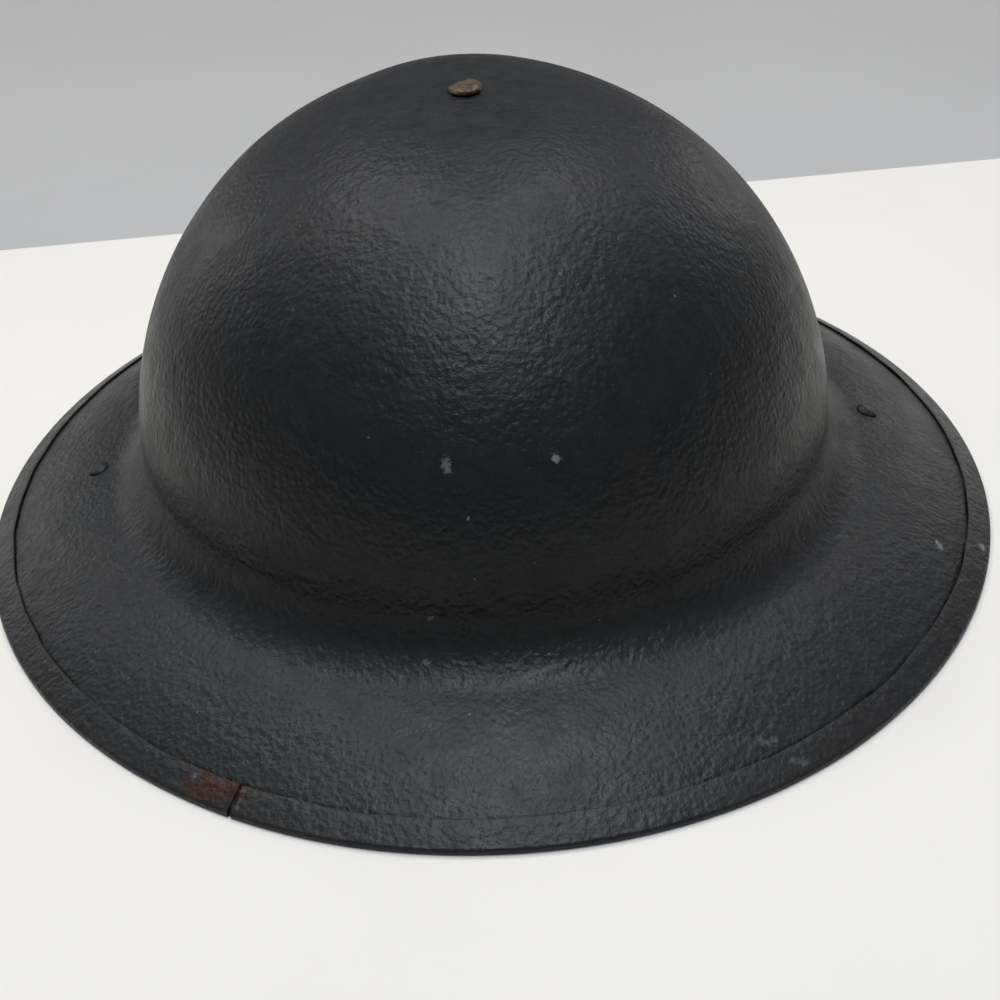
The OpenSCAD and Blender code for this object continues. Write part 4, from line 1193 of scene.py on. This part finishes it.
def leather(strap, side, flat, width, step=0.9 * MM):
    """A strap carried along its middle line, with rounded edges that swell a little, and
    the widths given along it."""
    path = upright(even(flat, step, 2))
    along = travelled(path)
    wide = width(along, along[-1])
    section = rounded(strap.width, strap.thickness * 0.98, 0.55 * MM, 4, 14)
    edge = np.clip((np.abs(section[:, 0]) - strap.width / 2 + 2.1 * MM) / (1.2 * MM), 0, 1)
    section[:, 1] *= 1 - 0.10 * edge
    points = carried(path, resized(section, wide / strap.width, 1), (0, 1, 0))
    points[..., 2] += lumps(points, 26 * MM, 70) * 0.05 * MM
    placed = at_bar(points, side, strap.skew)
    return surface(side + "_leather", placed, round_v=True, caps=True)


class HELMET_OT_straps(bpy.types.Operator):
    """Make the two halves of the leather chinstrap, their rivets and the keeper"""

    bl_idname = "helmet.make_straps"
    bl_label = "Chinstrap"

    def execute(self, context):
        strap = context.scene.helmet_strap
        thick = strap.thickness
        mid = 2.75 * MM
        lap = -0.7 * MM
        heel_r = 2.55 * MM
        near = fold_end(0, 0, mid, 1, lap, strap.fold)
        far = fold_end(strap.left, HEEL_Z, heel_r, -1, lap, strap.fold)[::-1]

        def plain(along, whole):
            return np.full_like(along, strap.width)

        def tipped(along, whole):
            left = np.clip(whole - along, 0.05 * MM, strap.width / 2)
            return 2 * np.sqrt((strap.width / 2) ** 2 - (strap.width / 2 - left) ** 2)

        left = leather(strap, "left", np.concatenate([near, far]), plain)
        ring = rounded(strap.slot + 8 * MM, strap.slot_width, 0.8 * MM, 6, 13)
        ring += [strap.left + (8 * MM - strap.slot) / 2, 0]
        slot = np.stack([np.insert(ring, 2, z, axis=1) for z in (-9 * MM, 9 * MM)])
        drilled(left, [surface("slot", at_bar(slot, "left", strap.skew), round_v=True,
                               caps=True)])
        dress(left, "leather", "left_strap", ["left_strap"])

        r1, r2, r3 = (strap.curl - k * strap.curl_step for k in range(3))
        x1, z1 = strap.right, r1 - mid
        x2 = x1 + strap.curl_step
        z3 = z1 + strap.curl_step
        curl = np.concatenate([
            arc((x1, z1), r1, -90, 0, 40)[1:], arc((x2, z1), r2, 0, 90, 40)[1:],
            arc((x2, z3), r3, 90, 180, 40)[1:], [[x2 - r3, z3 - strap.tail]]])
        right = leather(strap, "right", np.concatenate([near, curl]), tipped, 0.8 * MM)
        holes = []
        for i in range(strap.holes):
            s = strap.first_hole + strap.hole_step * i
            third = r3 * math.pi / 2
            if s <= strap.tail:
                at, way = np.array([x2 - r3, z3 - strap.tail + s]), np.array([1.0, 0])
            else:
                late = s > strap.tail + third
                r = r2 if late else r3
                a = math.radians(90) - (s - strap.tail - third) / r2 if late else (
                    math.pi - (s - strap.tail) / r3)
                way = np.array([math.cos(a), math.sin(a)])
                at = np.array([x2, z1 if late else z3]) + r * way
            wide = strap.hole / 2
            pin = revolved(np.array([[0, -thick], [wide, -thick], [wide, thick], [0, thick]]), 28)
            axes = np.array([[-way[1], 0, way[0]], [0, 1, 0], [way[0], 0, way[1]]])
            pin = pin @ axes + [at[0], 0, at[1]]
            holes.append(surface("hole", at_bar(pin, "right", strap.skew), round_u=True))
        drilled(right, holes)
        dress(right, "leather", "right_strap", ["right_strap"])

        rivet = headed(5.5 * MM, 0.8 * MM, 2.4 * MM, 4.25 * MM, 0.8 * MM) + [0, -3.85 * MM]
        seam, row_at = 17.75 * MM, 12 * MM
        for side, node, places in [
            ("left", "left_strap_rivets", [seam, strap.left - seam]),
            ("right", "right_strap_rivet", [seam])]:
            heads = [surface("head", at_bar(revolved(rivet, 32) + [x, 0, 0], side, strap.skew),
                             round_u=True) for x in places]
            piece = joined(side + "_strap_studs", heads)
            dress(piece, "brass", side + "_strap", [node])

        y = np.linspace(-6.8, 6.8, 5) * MM
        across, up = (np.tile(way, (len(y), 1)) for way in ([0, 1.0, 0], [0, 0, 1.0]))
        for side, places in [("left", [row_at, strap.left - row_at]), ("right", [row_at])]:
            rows = []
            for x in places:
                at = np.array([[x, each, lap + thick / 2 + 0.05 * MM] for each in y])
                at = at_bar(at, side, strap.skew)
                rows.append(stitches("row", at, across, up, 2.6 * MM, 0.3 * MM))
            piece = joined(side + "_strap_stitching", rows)
            dress(piece, "thread", side + "_strap")

        low, high = box("strap_keeper")
        middle, size = (low + high) / 2, high - low
        ring = rounded(size[1] - 1.2 * MM, size[2] - 1.2 * MM, 0.9 * MM, 8, 12)
        path = np.stack([0 * ring[:, 0], ring[:, 0], ring[:, 1]], -1) + middle
        section = rounded(size[0], 1.2 * MM, 0.45 * MM, 4, 6)
        keeper = hoop("leather_keeper", path, section, (1, 0, 0))
        dress(keeper, "leather", "strap_keeper", ["strap_keeper"])
        return {"FINISHED"}


class HELMET_OT_buckle(bpy.types.Operator):
    """Make the buckle's frame, roller and tongue"""

    bl_idname = "helmet.make_buckle"
    bl_label = "Buckle"

    def execute(self, context):
        strap = context.scene.helmet_strap
        heel = np.array([strap.left, 0, HEEL_Z])

        def at(points):
            return at_bar(points + heel, "left", strap.skew)

        loop = wire_loop(strap.buckle, strap.width + 4.6 * MM, 2.2 * MM)
        grid = carried(loop, circle(1.3 * MM, 14), (0, 0, 1), True)
        wire = surface("buckle_wire", at(grid), round_u=True, round_v=True)
        dress(wire, "brass", "buckle", ["buckle_frame"])

        low, high = box("buckle_roller")
        wide = high[1] - low[1]
        tube = rounded(0.8 * MM, wide, 0.25 * MM, 4, 12) + [1.8 * MM, 0]
        grid = revolved(tube, 40)[..., [0, 2, 1]] + [strap.buckle, 0, 0]
        roller = surface("buckle_roller_tube", at(grid), round_u=True, round_v=True)
        dress(roller, "brass", "roller", ["buckle_roller"])

        eye = arc((0, 0), 2.0 * MM, -80, -270, 26)
        reach = strap.buckle + 2.9 * MM
        body = np.array([[1.5, 2.15], [12.6, 3.25], [16, 3.1], [reach / MM, 2.85]]) * MM
        flat = even(np.concatenate([eye, body]), 0.5 * MM, 3)
        path = upright(flat)
        along = np.linspace(0, 1, len(path))
        thick = np.interp(along, [0, 0.3, 0.65, 1], [0.58, 0.6, 1.0, 0.5])
        wide = np.interp(along, [0, 0.3, 0.6, 0.95, 1], [1, 1, 1, 0.72, 0.4])
        section = resized(rounded(3 * MM, 1.9 * MM, 0.6 * MM, 5, 6), wide, thick)
        tongue = surface("buckle_pin", at(carried(path, section, (0, 1, 0))),
                         round_v=True, caps=True)
        dress(tongue, "brass", "tongue", ["buckle_tongue"])
        return {"FINISHED"}


def paper(name, colour):
    """White paper: matt, with the faint waves and smudges of a sheet laid on a table."""
    sheet, tree, where = tree_of(name)
    cloud = noise(tree, where, 140 * MM, 5, 0.6)
    colour = blended(tree, cloud, rgba(colour, 0.93), rgba(colour, 1.04))
    fibre = noise(tree, where, 2 * MM, 3)
    rough = between(tree, cloud, 0, 1, 0.85, 0.95)
    finish(tree, colour, rough, fibre, 0.04 * MM, {"Specular IOR Level": 0.2})
    return sheet


def toward(azimuth, elevation):
    """Unit vector to a point round the helmet: azimuth 0 is in front and 90 degrees right."""
    flat = math.cos(elevation)
    return np.array([math.sin(azimuth) * flat, -math.cos(azimuth) * flat, math.sin(elevation)])


# Soft lamps round the helmet: direction and height in degrees, watts and colour.
LAMPS = [
    ("softbox overhead", 0, 82, 6.0, "f6f8ff"),
    ("window in front", 0, 64, 5.0, "d6e6ff"),
    ("softbox behind on the right", 135, 60, 3.1, "ffffff"),
    ("softbox behind on the left", 225, 60, 4.0, "ffffff"),
    ("pale wall on the right", 135, 15, 0.8, "ffffff"),
    ("pale wall on the left", 225, 15, 1.0, "ffffff"),
]


def lamp(name, place, size, watts, colour):
    """A soft square lamp that looks at the helmet and isn't seen itself."""
    data = bpy.data.lights.new(name, "AREA")
    data.shape, data.size = "SQUARE", size
    data.energy, data.color = watts, linear(colour)
    item = linked(name, data)
    item.location = place
    item.rotation_mode = "QUATERNION"
    item.rotation_quaternion = Vector(-place).to_track_quat("-Z", "Y")
    item.visible_camera = False


class HELMET_OT_stage(bpy.types.Operator):
    """Set up the camera, the paper floor and the lamps"""

    bl_idname = "helmet.make_stage"
    bl_label = "Stage"

    def execute(self, context):
        stage = context.scene.helmet_stage
        az, el = stage.azimuth, stage.elevation
        place = toward(az, el) * stage.distance
        aim = np.array([math.cos(az), math.sin(az), 0]) * stage.aim_side
        aim[2] += stage.aim_up
        ahead = (aim - place) / np.linalg.norm(aim - place)
        right = np.cross(ahead, [0, 0, 1])
        right /= np.linalg.norm(right)
        up = np.cross(right, ahead)
        c, s = math.cos(stage.roll), math.sin(stage.roll)
        right, up = right * c + up * s, up * c - right * s
        data = bpy.data.cameras.new("camera")
        data.sensor_width, data.lens = 36, stage.lens
        data.clip_start, data.clip_end = 0.02, 50
        camera = linked("camera", data)
        camera.matrix_world = Matrix([
            [right[0], up[0], -ahead[0], place[0]], [right[1], up[1], -ahead[1], place[1]],
            [right[2], up[2], -ahead[2], place[2]], [0, 0, 0, 1]])
        context.scene.camera = camera

        reach = 4.0
        x = np.linspace(-reach, reach, 5)[:, None]
        edge = stage.paper_edge + x * math.tan(stage.paper_skew)
        for name, tone, back, z in [("paper_floor", stage.floor, edge, 0.0),
                                    ("grey_floor", stage.backdrop, edge + 5, -4 * MM)]:
            y = np.concatenate([np.full_like(x, -reach), back], axis=1)
            grid = np.stack([np.broadcast_to(x, y.shape), y, np.full(y.shape, z)], -1)
            floor = surface(name, grid)
            if floor.data.polygons[0].normal.z < 0:
                floor.data.flip_normals()
            floor.data.materials.append(paper("White paper" if z == 0 else "Grey card", tone))

        for name, azimuth, elevation, watts, colour in LAMPS:
            way = toward(math.radians(azimuth), math.radians(elevation))
            lamp(name, way * stage.lamp_reach, stage.lamp_size, watts, colour)
        world = bpy.data.worlds.new("room")
        context.scene.world = world
        world.use_nodes = True
        light = world.node_tree.nodes["Background"].inputs
        light["Color"].default_value = rgba("d0d2d6")
        light["Strength"].default_value = stage.room
        context.scene.view_settings.view_transform = "Standard"
        return {"FINISHED"}


class HELMET_PT_panel(bpy.types.Panel):
    """Lists the helmet's values and its steps."""

    bl_idname = "HELMET_PT_panel"
    bl_label = "Helmet"
    bl_space_type = "VIEW_3D"
    bl_region_type = "UI"
    bl_category = "Helmet"

    def draw(self, context):
        for title, group, steps in PARTS:
            part = self.layout.box()
            part.label(text=title)
            values = getattr(context.scene, group)
            for name in values.bl_rna.properties.keys():
                if name not in ("rna_type", "name"):
                    part.prop(values, name)
            for step in steps:
                part.operator(step.bl_idname)


PARTS = [
    ("Stage", "helmet_stage", [HELMET_OT_stage]),
    ("Shell", "helmet_shell", [HELMET_OT_shell, HELMET_OT_rim, HELMET_OT_rivets]),
    ("Liner", "helmet_liner", [HELMET_OT_bands, HELMET_OT_crown, HELMET_OT_tubes, HELMET_OT_net]),
    ("Chinstrap", "helmet_strap", [HELMET_OT_bales, HELMET_OT_straps, HELMET_OT_buckle]),
]
GROUPS = {
    "helmet_stage": HELMET_PG_stage,
    "helmet_shell": HELMET_PG_shell,
    "helmet_liner": HELMET_PG_liner,
    "helmet_strap": HELMET_PG_strap,
}
STEPS = [step for part in PARTS for step in part[2]]


def register():
    for cls in [*GROUPS.values(), *STEPS, HELMET_PT_panel]:
        bpy.utils.register_class(cls)
    for name, group in GROUPS.items():
        setattr(bpy.types.Scene, name, bpy.props.PointerProperty(type=group))


def unregister():
    for name in GROUPS:
        delattr(bpy.types.Scene, name)
    for cls in [HELMET_PT_panel, *STEPS[::-1], *list(GROUPS.values())[::-1]]:
        bpy.utils.unregister_class(cls)


def main():
    """Makes every piece in order, and gives the CAD nodes that stay their materials."""
    register()
    for step in STEPS:
        group, name = step.bl_idname.split(".")
        getattr(getattr(bpy.ops, group), name)()
    washer = frame["nodes"]["crown_washer"]
    washer.data.materials.clear()
    washer.data.materials.append(material("steel"))


if __name__ == "__main__":
    main()
